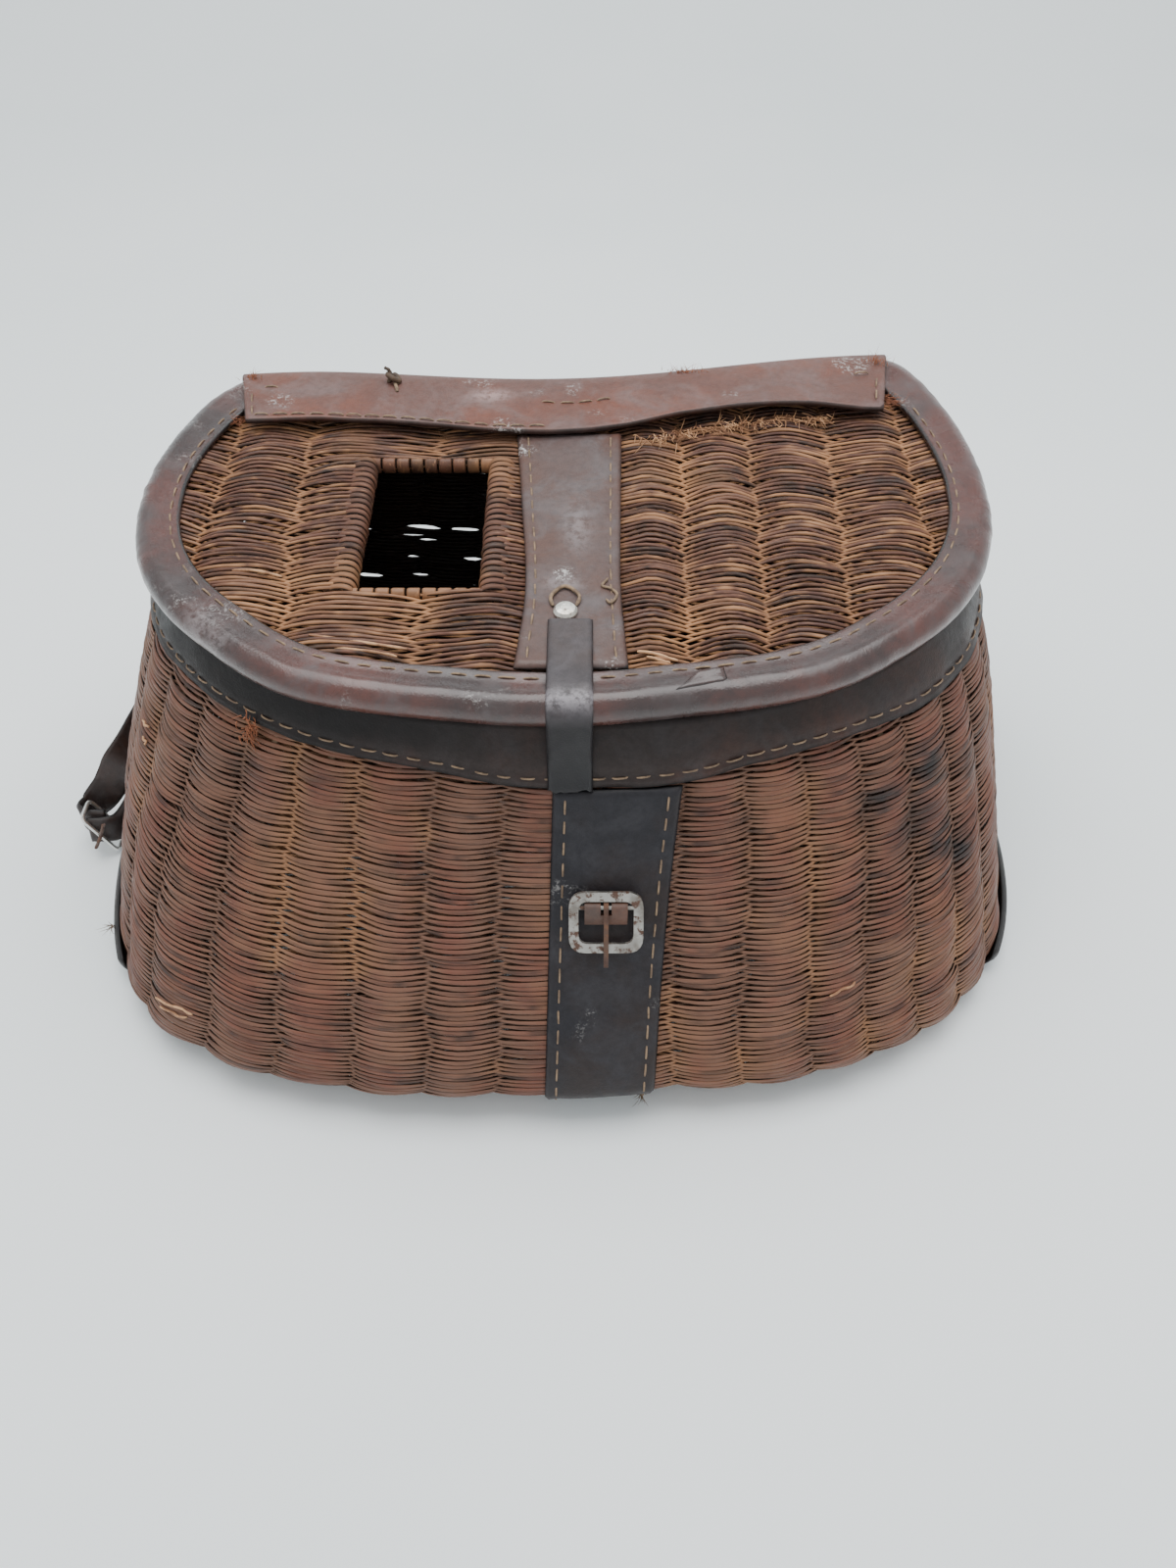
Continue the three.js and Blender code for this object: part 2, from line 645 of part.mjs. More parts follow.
// Round lathe on the lid's top, seat at height z.
function onLid(geometry, x, y, z) {
  geometry.rotateX(Math.PI / 2);
  geometry.rotateX(rad(LID.slope));
  const at = lidPoint(x, y, z);
  geometry.translate(at.x, at.y, at.z);
  return geometry;
}
const STUD_PROFILE = [
  { share: 1, rise: 0 },
  { share: 1, rise: 0.35 },
  { share: 0.8, rise: 0.8 },
  { share: 0.42, rise: 1 },
];
function latchStud() {
  const points = STUD_PROFILE.map(({ share, rise }) => new THREE.Vector2(share * STUD.radius, rise * STUD.height));
  points.unshift(new THREE.Vector2(0, 0));
  points.push(new THREE.Vector2(0, STUD.height));
  return onLid(new THREE.LatheGeometry(points, 18), STUD.x, STUD.y, bandTop + GAP);
}
add("latch_stud", 0xb9b2a6, latchStud());

// Front buckle: x across, y up the band, z out of the band's face.
const buckleX = readTable(FRONT_BAND, "up", "centre", FRONT_BUCKLE.up) - 1;
const faceOut = patchIn + LEATHER;
const facePoint = (up) => wallPoint(frontPlace(buckleX, up, faceOut), up, faceOut);
function faceFrame() {
  const reach = FRONT_BUCKLE.height / 2 / rimHeight;
  const [low, high] = [facePoint(FRONT_BUCKLE.up - reach), facePoint(FRONT_BUCKLE.up + reach)];
  const upward = high.clone().sub(low).setX(0).normalize();
  const across = new THREE.Vector3(1, 0, 0);
  const outward = across.clone().cross(upward).normalize();
  const bulge = Math.max(0, facePoint(FRONT_BUCKLE.up).sub(low).dot(outward));
  const frame = new THREE.Matrix4().makeBasis(across, upward, outward);
  return frame.setPosition(low.add(high).multiplyScalar(0.5).addScaledVector(outward, bulge + GAP));
}
const buckleBase = faceFrame();
const onFace = (geometry) => geometry.applyMatrix4(buckleBase);

// Traces a rectangle with rounded corners about its middle.
function roundedRect(target, width, height, radius) {
  const [w, h] = [width / 2, height / 2];
  target.moveTo(-w + radius, -h);
  target.lineTo(w - radius, -h);
  target.quadraticCurveTo(w, -h, w, -h + radius);
  target.lineTo(w, h - radius);
  target.quadraticCurveTo(w, h, w - radius, h);
  target.lineTo(-w + radius, h);
  target.quadraticCurveTo(-w, h, -w, h - radius);
  target.lineTo(-w, -h + radius);
  target.quadraticCurveTo(-w, -h, -w + radius, -h);
  return target;
}

// Extrudes an outline of [along y, along z] points across x.
function acrossX(points, width, holes = []) {
  const shape = new THREE.Shape(points.map(([y, z]) => new THREE.Vector2(y, z)));
  holes.forEach((hole) => shape.holes.push(hole));
  const geometry = new THREE.ExtrudeGeometry(shape, { depth: width, bevelEnabled: false, curveSegments: 5 });
  geometry.translate(0, 0, -width / 2);
  geometry.applyMatrix4(new THREE.Matrix4().set(0, 0, 1, 0, 1, 0, 0, 0, 0, 1, 0, 0, 0, 0, 0, 1));
  return geometry;
}
function merged(geometry) {
  geometry.deleteAttribute("normal");
  geometry.deleteAttribute("uv");
  return mergeVertices(geometry, 1e-3);
}

const wrap = FRONT_BUCKLE.postRadius + GAP + CHAPE.skin;
const postY = FRONT_BUCKLE.height / 2 - FRONT_BUCKLE.bar - GAP - wrap;
const postZ = FRONT_BUCKLE.lift + FRONT_BUCKLE.thick / 2;
function frontBuckle() {
  const { width, height, bar, thick, lift, postRadius } = FRONT_BUCKLE;
  const shape = roundedRect(new THREE.Shape(), width, height, 6);
  shape.holes.push(roundedRect(new THREE.Path(), width - 2 * bar, height - 2 * bar, 3.5));
  const frame = new THREE.ExtrudeGeometry(shape, { depth: thick, bevelEnabled: false, curveSegments: 5 });
  frame.translate(0, 0, lift);
  const post = new THREE.CylinderGeometry(postRadius, postRadius, width - bar, 12);
  post.rotateZ(Math.PI / 2);
  post.translate(0, postY, postZ);
  return onFace(fromSolid(toSolid(merged(frame)).add(toSolid(merged(post)))));
}
add("buckle_frame", 0x8d8880, frontBuckle());

// Leather fold that holds the post, slotted for the prong.
function buckleChape() {
  const turn = (angle) => [postY + wrap * Math.cos(rad(angle)), postZ + wrap * Math.sin(rad(angle))];
  const points = [[CHAPE.foot, 0], ...[-90, -45, 0, 45, 90].map(turn), [CHAPE.foot, 2 * CHAPE.skin]];
  const eye = new THREE.Path().absarc(postY, postZ, FRONT_BUCKLE.postRadius + GAP, 0, 2 * Math.PI, true);
  const fold = toSolid(merged(acrossX(points, CHAPE.width, [eye])));
  const slotFoot = postY - wrap - 2 * GAP;
  const slotBox = new THREE.BoxGeometry(CHAPE.slot, 4 * wrap, 6 * wrap);
  slotBox.translate(0, slotFoot + 2 * wrap, postZ);
  return onFace(fromSolid(fold.subtract(toSolid(merged(slotBox)))));
}
add("buckle_chape", 0x4a2f24, buckleChape());

function frontProng() {
  const eyeOut = wrap + 0.1;
  const over = FRONT_BUCKLE.lift + FRONT_BUCKLE.thick + GAP;
  const ring = [-150, -110, -70, -30, 10, 50, 90].map((angle) => {
    return [postY + eyeOut * Math.cos(rad(angle)), postZ + eyeOut * Math.sin(rad(angle))];
  });
  const points = [
    ...ring,
    [-FRONT_BUCKLE.height / 2 + 0.5, over + PRONG.thick],
    [PRONG.tip, over + PRONG.thick - 1],
    [PRONG.tip, over - 1],
    [-FRONT_BUCKLE.height / 2, over],
    [postY - eyeOut, over],
  ];
  const eye = new THREE.Path().absarc(postY, postZ, FRONT_BUCKLE.postRadius + GAP, 0, 2 * Math.PI, true);
  return onFace(merged(acrossX(points, PRONG.width, [eye])));
}
add("buckle_prong", 0x5d3f33, frontProng());

// Strips along the sides of the base, from the front corners backwards.
function sideTurn(y, size) {
  if (y >= 0) return 1 + Math.asin(y / size.back) / (Math.PI / 2);
  return Math.acos((-y / size.front) ** (size.boxiness / 2)) / (Math.PI / 2);
}
function baseStrip(side) {
  const columns = Array.from({ length: 19 }, (unused, i) => {
    return BASE_STRIP.front + (i / 18) * (BASE_STRIP.back - BASE_STRIP.front);
  });
  const outer = patchIn + BASE_STRIP.thick;
  const at = (y, up, out) => wallPoint({ side, turn: sideTurn(y, wallSize(up, out)) }, up, out);
  const sections = columns.map((y) => {
    const { low, high } = BASE_STRIP;
    const mid = (low + high) / 2;
    return [
      at(y, low, patchIn),
      at(y, low, outer),
      at(y, mid, outer),
      at(y, high, outer),
      at(y, high, patchIn),
      at(y, mid, patchIn),
    ];
  });
  const flat = [
    [0, 0],
    [1, 0],
    [1, 1],
    [1, 2],
    [0, 2],
    [0, 1],
  ];
  return sweep(sections, flat.map(([x, y]) => new THREE.Vector2(x, y)));
}
add("base_strip_left", 0x2b2526, baseStrip(-1));
add("base_strip_right", 0x2b2526, baseStrip(1));

// Strap standing on edge: rows of its middle line, out from the base's widest place, and its upper edge's lean.
const baseHalf = LID.halfWidth * BODY_SECTIONS[1].wide;
function ribbon(rows, steps) {
  const points = rows.map(({ side, out, y, z }) => new THREE.Vector3(side * (baseHalf + out), y, z));
  const line = new THREE.CatmullRomCurve3(points, false, "centripetal");
  const leans = new THREE.CatmullRomCurve3(rows.map(({ lean = 0 }) => new THREE.Vector3(lean, 0, 0)));
  const sections = Array.from({ length: steps + 1 }, (unused, i) => {
    const t = i / steps;
    const [middle, along] = [line.getPoint(t), line.getTangent(t)];
    const lean = rad(leans.getPoint(t).x);
    const upward = new THREE.Vector3(0, Math.sin(lean), Math.cos(lean));
    upward.addScaledVector(along, -upward.dot(along)).normalize();
    const outward = along.clone().cross(upward).normalize();
    return [
      [-1, -1],
      [1, -1],
      [1, 1],
      [-1, 1],
    ].map(([i, j]) => {
      const p = middle.clone().addScaledVector(outward, (i * STRAP.thick) / 2);
      return p.addScaledVector(upward, (j * STRAP.width) / 2);
    });
  });
  const flat = [
    [-1, -1],
    [1, -1],
    [1, 1],
    [-1, 1],
  ];
  return sweep(sections, flat.map(([x, y]) => new THREE.Vector2(x, y)));
}
const onFloor = STRAP.floor + STRAP.width / 2;
const SHORT_STRAP = [
  { side: -1, out: -12.4, y: 92, z: 52, lean: 12 },
  { side: -1, out: 0.5, y: 66, z: 48, lean: 15 },
  { side: -1, out: 8, y: 42, z: 40, lean: 30 },
  { side: -1, out: 13.5, y: 27, z: 32.5, lean: 38 },
  { side: -1, out: 19, y: 20.5, z: 23, lean: 22 },
  { side: -1, out: 27, y: 15.5, z: 15.5, lean: 8 },
  { side: -1, out: 31, y: 11, z: 14.5, lean: 0 },
  { side: -1, out: 27.5, y: 7, z: 13.4, lean: 0 },
  { side: -1, out: 23, y: 6.9, z: 12.7, lean: 0 },
  { side: -1, out: 19.3, y: 7.1, z: 12.4, lean: 0 },
];
add("carry_strap_short", 0x3a2a28, ribbon(SHORT_STRAP, 28));
const LONG_STRAP = [
  { side: -1, out: 26, y: 1.2, z: onFloor + 5 },
  { side: -1, out: 19, y: 2.2, z: onFloor + 4.4 },
  { side: -1, out: 14.6, y: 5, z: onFloor + 3.4 },
  { side: -1, out: 12.6, y: 15, z: onFloor + 1.5 },
  { side: -1, out: 12.6, y: 50, z: onFloor },
  { side: -1, out: 8, y: 92, z: onFloor },
  { side: -1, out: -18, y: 126, z: onFloor },
  { side: -1, out: -80, y: 133, z: onFloor },
  { side: -1, out: -190, y: 131, z: onFloor },
  { side: 1, out: -80, y: 141, z: onFloor },
  { side: 1, out: -20, y: 141, z: onFloor },
  { side: 1, out: 6, y: 115, z: onFloor + 4 },
  { side: 1, out: 8, y: 92, z: onFloor + 16 },
  { side: 1, out: 2, y: 66, z: onFloor + 32 },
  { side: 1, out: -3.1, y: 46, z: onFloor + 42 },
];
add("carry_strap_long", 0x3a2a28, ribbon(LONG_STRAP, 42));

// Wire buckle that joins the two straps, and its prong in front.
const WIRE = { radius: 0.9, length: 23.5, width: 12, out: 20.5, y: 5.2, z: 12.6, tilt: 28 };
const wireX = -baseHalf - WIRE.out;
function wireBuckle() {
  const [l, w] = [WIRE.length / 2, WIRE.width / 2];
  const round = 2.5;
  const arc = (x, y, from) => [0, 30, 60, 90].map((a) => [
    x + round * Math.cos(rad(from + a)),
    y + round * Math.sin(rad(from + a)),
  ]);
  const path = [
    ...arc(l - round, w - round, 0),
    ...arc(-l + round, w - round, 90),
    ...arc(-l + round, -w + round, 180),
    ...arc(l - round, -w + round, 270),
  ];
  const count = path.length;
  const angles = Array.from({ length: 8 }, (unused, i) => (2 * Math.PI * i) / 8);
  const rings = angles.map((angle) => path.map(([x, y], i) => {
    const [before, after] = [path[(i + count - 1) % count], path[(i + 1) % count]];
    const away = new THREE.Vector2(after[1] - before[1], before[0] - after[0]).normalize();
    const out = WIRE.radius * Math.cos(angle);
    return new THREE.Vector3(x + away.x * out, y + away.y * out, WIRE.radius * Math.sin(angle));
  }));
  const geometry = closedBand(rings);
  geometry.rotateY(rad(90 - WIRE.tilt));
  geometry.translate(wireX, WIRE.y, WIRE.z);
  return geometry;
}
add("strap_buckle_frame", 0xa8a49c, wireBuckle());
function wireProng() {
  const [x, y, z] = [wireX, WIRE.y, WIRE.z];
  const front = y - WIRE.width / 2 - 2 * WIRE.radius - 2 * GAP;
  const rows = [
    [x + 4.5, front + 0.6, z + 9],
    [x + 1.5, front, z + 2],
    [x - 2.5, front, z - 5.5],
  ];
  const angles = Array.from({ length: 8 }, (unused, i) => (2 * Math.PI * i) / 8);
  const sections = rows.map(([px, py, pz]) => angles.map((angle) => {
    return new THREE.Vector3(px + WIRE.radius * Math.cos(angle), py + WIRE.radius * Math.sin(angle), pz);
  }));
  return sweep(sections, angles.map((angle) => new THREE.Vector2(Math.cos(angle), Math.sin(angle))));
}
add("strap_buckle_prong", 0x4b4442, wireProng());

export default group;
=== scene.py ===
import bmesh
import bpy
import math
import numpy as np
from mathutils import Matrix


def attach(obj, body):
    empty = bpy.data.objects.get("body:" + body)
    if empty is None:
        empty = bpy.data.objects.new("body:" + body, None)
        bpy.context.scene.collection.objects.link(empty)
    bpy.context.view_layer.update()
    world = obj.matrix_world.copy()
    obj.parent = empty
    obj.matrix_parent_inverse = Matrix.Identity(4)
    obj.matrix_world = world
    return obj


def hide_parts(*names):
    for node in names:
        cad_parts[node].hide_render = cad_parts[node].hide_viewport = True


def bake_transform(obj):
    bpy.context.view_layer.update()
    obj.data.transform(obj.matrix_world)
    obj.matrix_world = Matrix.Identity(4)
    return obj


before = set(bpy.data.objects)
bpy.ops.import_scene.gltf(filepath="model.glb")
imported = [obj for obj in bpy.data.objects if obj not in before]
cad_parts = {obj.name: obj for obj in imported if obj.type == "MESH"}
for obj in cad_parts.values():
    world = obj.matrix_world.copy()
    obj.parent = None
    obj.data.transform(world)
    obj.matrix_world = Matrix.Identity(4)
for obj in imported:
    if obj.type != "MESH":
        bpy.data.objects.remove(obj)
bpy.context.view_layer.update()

# Lengths below are millimetres; meshes are scaled to metres when they are made.
MM = 0.001
PI = math.pi

LID_HALF, LID_FRONT, LID_BACK = 160.0, 113.0, 90.0
BACK_CHORD, BACK_DIP, BACK_SKEW, LID_BOX = 0.86, 12.5, 0.09, 2.25
WIDEST_Y, LID_HEIGHT = 28.5, 165.8
SLOPE = math.radians(4.0)
ROLL = 6.5
BINDING = 17.0
GAP, LEATHER = 0.4, 2.0
RIM_HEIGHT = LID_HEIGHT - (ROLL + GAP + LEATHER + GAP)
BODY_BACK = LID_BACK - LEATHER - GAP
RIM_INNER_DROP = 14.0
RIB_RISE = 1.3
PATCH_IN = RIB_RISE + GAP
PANEL_TOP = 3.4
BAND_UNDER = PANEL_TOP + GAP
BAND_TOP = BAND_UNDER + LEATHER
LID_TOP = ROLL + GAP
BAND_AWAY = 1.9
HINGE_ON_LID, HINGE_DOWN, HINGE_OUT, HINGE_TAPER = 36.0, 28.0, 2.8, 0.05
BAND_FRONT = -LID_FRONT + BINDING + 2 * GAP + BAND_AWAY
BAND_BACK = LID_BACK - BACK_DIP - HINGE_ON_LID - 4 * GAP
# The lid's directions: back along its plane and up from it.
LID_ALONG = np.array([0.0, math.cos(SLOPE), math.sin(SLOPE)])
LID_UP = np.array([0.0, -math.sin(SLOPE), math.cos(SLOPE)])
STAKES = 37
ROWS = 168

WALL = {
    "up": [0, 0.05, 0.15, 0.4, 0.7, 1],
    "wide": [1.144, 1.187, 1.168, 1.122, 1.054, 0.95],
    "deep": [1.248, 1.372, 1.455, 1.306, 1.071, 0.933],
    "boxiness": [2.9, 2.9, 2.75, 2.6, 2.4, 2.2],
    "swell": [1, 1, 1, 0.9, 0.15, 0],
}
# How far the real outline lies outside the even one; turn is negative on the left half.
LID_SWELL = {
    "turn": [
        -3, -2.3, -1.85, -1.5, -1.1, -0.8, -0.55, -0.35, -0.15, 0, 0.15, 0.35, 0.55, 0.8, 1.1, 1.5, 1.85,
        2.3, 3
    ],
    "out": [0, 0, -4.1, -2.4, 0.9, -0.9, -1.7, 1.9, -0.5, 0, -1.9, -0.5, -2.7, -1.8, 1.6, -0.4, -1.2, 0, 0],
}
WALL_SWELL = {
    "turn": [
        -3, -2, -1.6, -1.03, -0.84, -0.69, -0.55, -0.44, -0.33, -0.23, -0.14, -0.04, 0.06, 0.14, 0.25, 0.36,
        0.52, 0.84, 1.1, 1.6, 3
    ],
    "out": [0, 0, 1, 5.8, 5.3, 6.8, 9.2, 6.7, 5.7, 2.9, 2.1, 0, -3, -1.2, -0.8, -1, 0, -0.4, -1.5, 0, 0],
}
# Height share of the rim band's lower edge.
RIM_EDGE = {
    "turn": [-3, -0.55, -0.35, -0.14, -0.06, 0.03, 0.13, 0.25, 0.45, 0.55, 0.7, 3],
    "up": [0.9, 0.911, 0.904, 0.894, 0.872, 0.868, 0.872, 0.893, 0.895, 0.883, 0.879, 0.88],
}
# Valleys between the stakes, in stakes from the front's middle, near the rim and near the foot.
VALLEYS = {
    "count": [-18.5, -7, -6, -5, -4, -3, -2, -1, 1, 2, 3, 4, 5, 6, 7, 18.5],
    "top": [
        -18.5, -6.45, -5.5, -4.57, -3.68, -2.74, -1.72, -0.8, 1.57, 2.48, 3.33, 4.2, 5.03, 5.83, 6.6, 18.5
    ],
    "foot": [
        -18.5, -6.45, -5.45, -4.31, -3.26, -2.22, -1.35, -0.57, 1.02, 1.81, 2.74, 3.64, 4.5, 5.4, 6.3, 18.5
    ],
}
# Stakes of the lid: half turns of the weave against x at three depths.
LID_STAKES = {
    "phase": [
        -6, -5.5, -5, -4.5, -4, -3.5, -3, -2.5, -2, -1.5, -1, -0.5, 0, 0.5, 1, 1.5, 2, 2.5, 3, 3.5, 4, 5
    ],
    "back": [
        -172, -159, -146, -131.5, -118, -101.6, -83, -50.7, -22.7, -9.3, 4, 17.3, 30.7, 45, 59.4, 72, 87,
        103, 124, 134, 147, 172
    ],
    "middle": [
        -174, -161, -148, -135, -121.5, -101, -79, -50.7, -22.7, -9.3, 4, 17.3, 30.6, 43.7, 59.8, 71, 84.6,
        101, 121, 135, 148, 174
    ],
    "front": [
        -166, -154, -142, -129, -106, -94, -76, -50.7, -22.7, -9.3, 4, 17.3, 30, 43, 59, 70, 83, 99, 110,
        134, 146, 170
    ],
}
# Gaps that let light through the back wall: stake, height share, half length in stakes, opening.
SLITS = [
    (-15.0, 0.634, 0.12, 0.9), (-15.9, 0.647, 0.34, 1.15), (-16.68, 0.647, 0.26, 1.0),
    (-15.67, 0.622, 0.26, 0.75), (-16.0, 0.606, 0.12, 0.7), (-15.79, 0.55, 0.10, 0.7),
    (-16.85, 0.546, 0.15, 0.8), (-15.0, 0.474, 0.22, 0.9), (-15.95, 0.484, 0.17, 0.8),
]
# Dark stains of the wall: stake, height share, half sizes and strength.
STAINS = [
    (4.38, 0.70, 0.5, 0.045, 0.95), (5.25, 0.735, 0.32, 0.05, 1.0), (5.35, 0.545, 0.45, 0.045, 1.0),
    (4.85, 0.625, 0.5, 0.06, 0.7), (5.75, 0.49, 0.3, 0.05, 0.95), (-4.6, 0.80, 0.45, 0.06, 0.45),
    (-3.4, 0.83, 0.5, 0.03, 0.4), (6.2, 0.66, 0.4, 0.05, 0.4),
]
HOLE_X, HOLE_Y, HOLE_W, HOLE_L = -51.7, -13.2, 44.2, 73.0
SIDE_ROLL, END_ROLL = 9.0, 4.5


def read_table(table, key, column, at):
    """Value of a table's column, smooth through its rows."""
    x, y = np.array(table[key], float), np.array(table[column], float)
    at = np.asarray(at, float)
    index = np.arange(len(x))
    low, high = np.maximum(index - 1, 0), np.minimum(index + 1, len(x) - 1)
    slope = (y[high] - y[low]) / (x[high] - x[low])
    k = np.clip(np.searchsorted(x, at) - 1, 0, len(x) - 2)
    step = x[k + 1] - x[k]
    t = (at - x[k]) / step
    ends = (2 * t**3 - 3 * t**2 + 1) * y[k] + (3 * t**2 - 2 * t**3) * y[k + 1]
    return ends + step * ((t**3 - 2 * t**2 + t) * slope[k] + (t**3 - t**2) * slope[k + 1])


def outline(side, turn, half, front, back, box, swell):
    """D outline from the widest line: turn 0 is at the front, 1 at the widest point, 3 at the back."""
    side, turn = np.asarray(side, float), np.asarray(turn, float)
    first = np.clip(turn, 0, 1) * PI / 2
    second = np.clip(turn - 1, 0, 1) * PI / 2
    chord = BACK_CHORD * (3 - turn)
    across = np.where(turn <= 2, 1 - (1 - BACK_CHORD) * (1 - np.cos(second)), chord)
    across = np.where(turn <= 1, np.sin(first) ** (2 / box), across)
    along = np.where(
        turn <= 1, -np.abs(np.cos(first)) ** (2 / box), np.where(turn <= 2, np.sin(second), 1.0)
    )
    hollow = np.where(turn > 2, BACK_DIP * np.cos(PI / 2 * (3 - turn)) ** 2, 0)
    behind = (back + swell) * along * (1 + BACK_SKEW * side * across) - hollow
    return side * (half + swell) * across, np.where(along <= 0, (front + swell) * along, behind)


FINE = np.linspace(0, 3, 3001)
fine_x, fine_y = outline(
    1, FINE, LID_HALF, LID_FRONT, LID_BACK, LID_BOX, read_table(LID_SWELL, "turn", "out", FINE)
)
FINE_LENGTH = np.concatenate([[0], np.cumsum(np.hypot(np.diff(fine_x), np.diff(fine_y)))])
ROUND = 2 * FINE_LENGTH[-1]


def place(share):
    """Side and turn of a share of the way round, from the front's middle to the right."""
    share = np.mod(share, 1.0)
    along = np.where(share <= 0.5, share, 1 - share) * ROUND
    return np.where(share <= 0.5, 1.0, -1.0), np.interp(along, FINE_LENGTH, FINE)


def wall(share, up, out=0.0, rise=0.0):
    """Points on the basket's wall, moved out from its face and up from their height."""
    side, turn = place(share)
    return wall_turn(side, turn, up, out, rise)


def wall_turn(side, turn, up, out=0.0, rise=0.0):
    """Points on the wall by side and turn instead of share."""
    half = LID_HALF * read_table(WALL, "up", "wide", up) + out
    front = LID_FRONT * read_table(WALL, "up", "deep", up) + out
    swell = read_table(WALL_SWELL, "turn", "out", side * turn) * read_table(WALL, "up", "swell", up)
    x, y = outline(side, turn, half, front, BODY_BACK + out, read_table(WALL, "up", "boxiness", up), swell)
    z = up * (RIM_HEIGHT + y * math.tan(SLOPE)) + rise
    return np.stack(np.broadcast_arrays(x, WIDEST_Y + y, z), -1)


def front_turn(x, up, out):
    """Turn of the places x across the wall's front."""
    half = LID_HALF * read_table(WALL, "up", "wide", up) + out
    box = read_table(WALL, "up", "boxiness", up)
    return np.arcsin(np.clip(np.abs(x / half), 0, 1) ** (box / 2)) / (PI / 2)


def lid_at(x, y, z):
    """Points in the lid's plane: x across, y back from the widest line, z above its middle plane."""
    x, y, z = np.broadcast_arrays(np.asarray(x, float), np.asarray(y, float), np.asarray(z, float))
    back = y * math.cos(SLOPE) - z * math.sin(SLOPE)
    return np.stack([x, WIDEST_Y + back, LID_HEIGHT + y * math.sin(SLOPE) + z * math.cos(SLOPE)], -1)


def lid_edge(share, inset):
    """x and y of the lid's outline, moved in."""
    side, turn = place(share)
    swell = read_table(LID_SWELL, "turn", "out", side * turn)
    return outline(side, turn, LID_HALF - inset, LID_FRONT - inset, LID_BACK - inset, LID_BOX, swell)


def unit(v):
    return v / np.maximum(np.linalg.norm(v, axis=-1, keepdims=True), 1e-9)


def hash_value(ix, iy, seed):
    """Repeatable value from 0 to 1 for whole-number places."""
    n = ix.astype(np.int64) * 374761393 + iy.astype(np.int64) * 668265263 + seed * 974634777
    n = (n ^ (n >> 13)) & 0x7FFFFFFF
    n = (n * 1274126177) & 0x7FFFFFFF
    n = (n ^ (n >> 16)) & 0xFFFFF
    return n / float(0xFFFFF)


def noise(x, y, seed=0):
    """Smooth noise from -1 to 1."""
    x, y = np.broadcast_arrays(np.asarray(x, float), np.asarray(y, float))
    ix, iy = np.floor(x), np.floor(y)
    tx, ty = x - ix, y - iy
    tx, ty = tx * tx * (3 - 2 * tx), ty * ty * (3 - 2 * ty)
    low = hash_value(ix, iy, seed) * (1 - tx) + hash_value(ix + 1, iy, seed) * tx
    high = hash_value(ix, iy + 1, seed) * (1 - tx) + hash_value(ix + 1, iy + 1, seed) * tx
    return 2 * (low * (1 - ty) + high * ty) - 1


def smoothstep(low, high, value):
    t = np.clip((np.asarray(value, float) - low) / (high - low), 0, 1)
    return t * t * (3 - 2 * t)


def make_mesh(name, points, faces, values=None):
    """Object from points in millimetres; values are named numbers or triples at each point."""
    points = np.asarray(points, float).reshape(-1, 3) * MM
    faces = np.asarray(faces, np.int32)
    mesh = bpy.data.meshes.new(name)
    mesh.vertices.add(len(points))
    mesh.vertices.foreach_set("co", points.astype(np.float32).ravel())
    corners = faces.shape[1]
    mesh.loops.add(faces.size)
    mesh.loops.foreach_set("vertex_index", faces.ravel())
    mesh.polygons.add(len(faces))
    mesh.polygons.foreach_set("loop_start", np.arange(0, faces.size, corners, dtype=np.int32))
    mesh.update(calc_edges=True)
    mesh.validate()
    mesh.polygons.foreach_set("use_smooth", np.full(len(mesh.polygons), True))
    for key, value in (values or {}).items():
        value = np.asarray(value, np.float32)
        if value.size == len(points):
            mesh.attributes.new(key, "FLOAT", "POINT").data.foreach_set("value", value.ravel())
        else:
            mesh.attributes.new(key, "FLOAT_VECTOR", "POINT").data.foreach_set("vector", value.ravel())
    mesh.update()
    piece = bpy.data.objects.new(name, mesh)
    bpy.context.scene.collection.objects.link(piece)
    return piece


def grid_faces(rows, columns, first=0, close_rows=False, close_columns=False):
    """Quads of a grid of points, row after row."""
    i = np.arange(rows if close_rows else rows - 1)[:, None]
    j = np.arange(columns if close_columns else columns - 1)[None, :]
    i2, j2 = (i + 1) % rows, (j + 1) % columns
    quads = np.stack(
        np.broadcast_arrays(i * columns + j, i2 * columns + j, i2 * columns + j2, i * columns + j2), -1
    )
    return quads.reshape(-1, 4) + first


def strands(centre, outward, upward, thick, tall, section, tilt=0.0):
    """Points and faces of strands; the arrays are strand by point, section is in half sizes."""
    cos_t, sin_t = np.cos(tilt), np.sin(tilt)
    thick, tall = np.broadcast_to(thick, centre.shape[:-1]), np.broadcast_to(tall, centre.shape[:-1])
    rings = []
    for a, b in section:
        out = a * thick * cos_t - b * tall * sin_t
        rise = a * thick * sin_t + b * tall * cos_t
        rings.append(centre + outward * out[..., None] + upward * rise[..., None])
    points = np.stack(rings, 2)
    count, length, corners = points.shape[:3]
    faces = np.concatenate([
        grid_faces(length, corners, first=k * length * corners, close_columns=True) for k in range(count)
    ])
    return points, faces


# Section of a split strand in half sizes, flat side out, and how much painted shade darkens each corner, at
# the gaps between strands.
HEX = [(0.5, 1.0), (1.0, 0.72), (1.0, -0.66), (0.4, -1.0), (-0.9, 0.0)]
HEX_SHADE = [0.95, 0.05, 0.0, 0.95, 1.0]
# The lid's strands are rounder, with deeper grooves between them and more painted shade at their edges.
LID_HEX = [(0.15, 1.0), (1.0, 0.5), (1.0, -0.38), (0.05, -1.0), (-0.9, 0.0)]
LID_SHADE = [1.1, 0.15, 0.0, 1.1, 1.1]


def round_section(corners):
    return [(math.cos(a), math.sin(a)) for a in np.arange(corners) * 2 * PI / corners]


def flat(values, corners):
    return np.repeat(np.asarray(values, float).ravel(), corners)


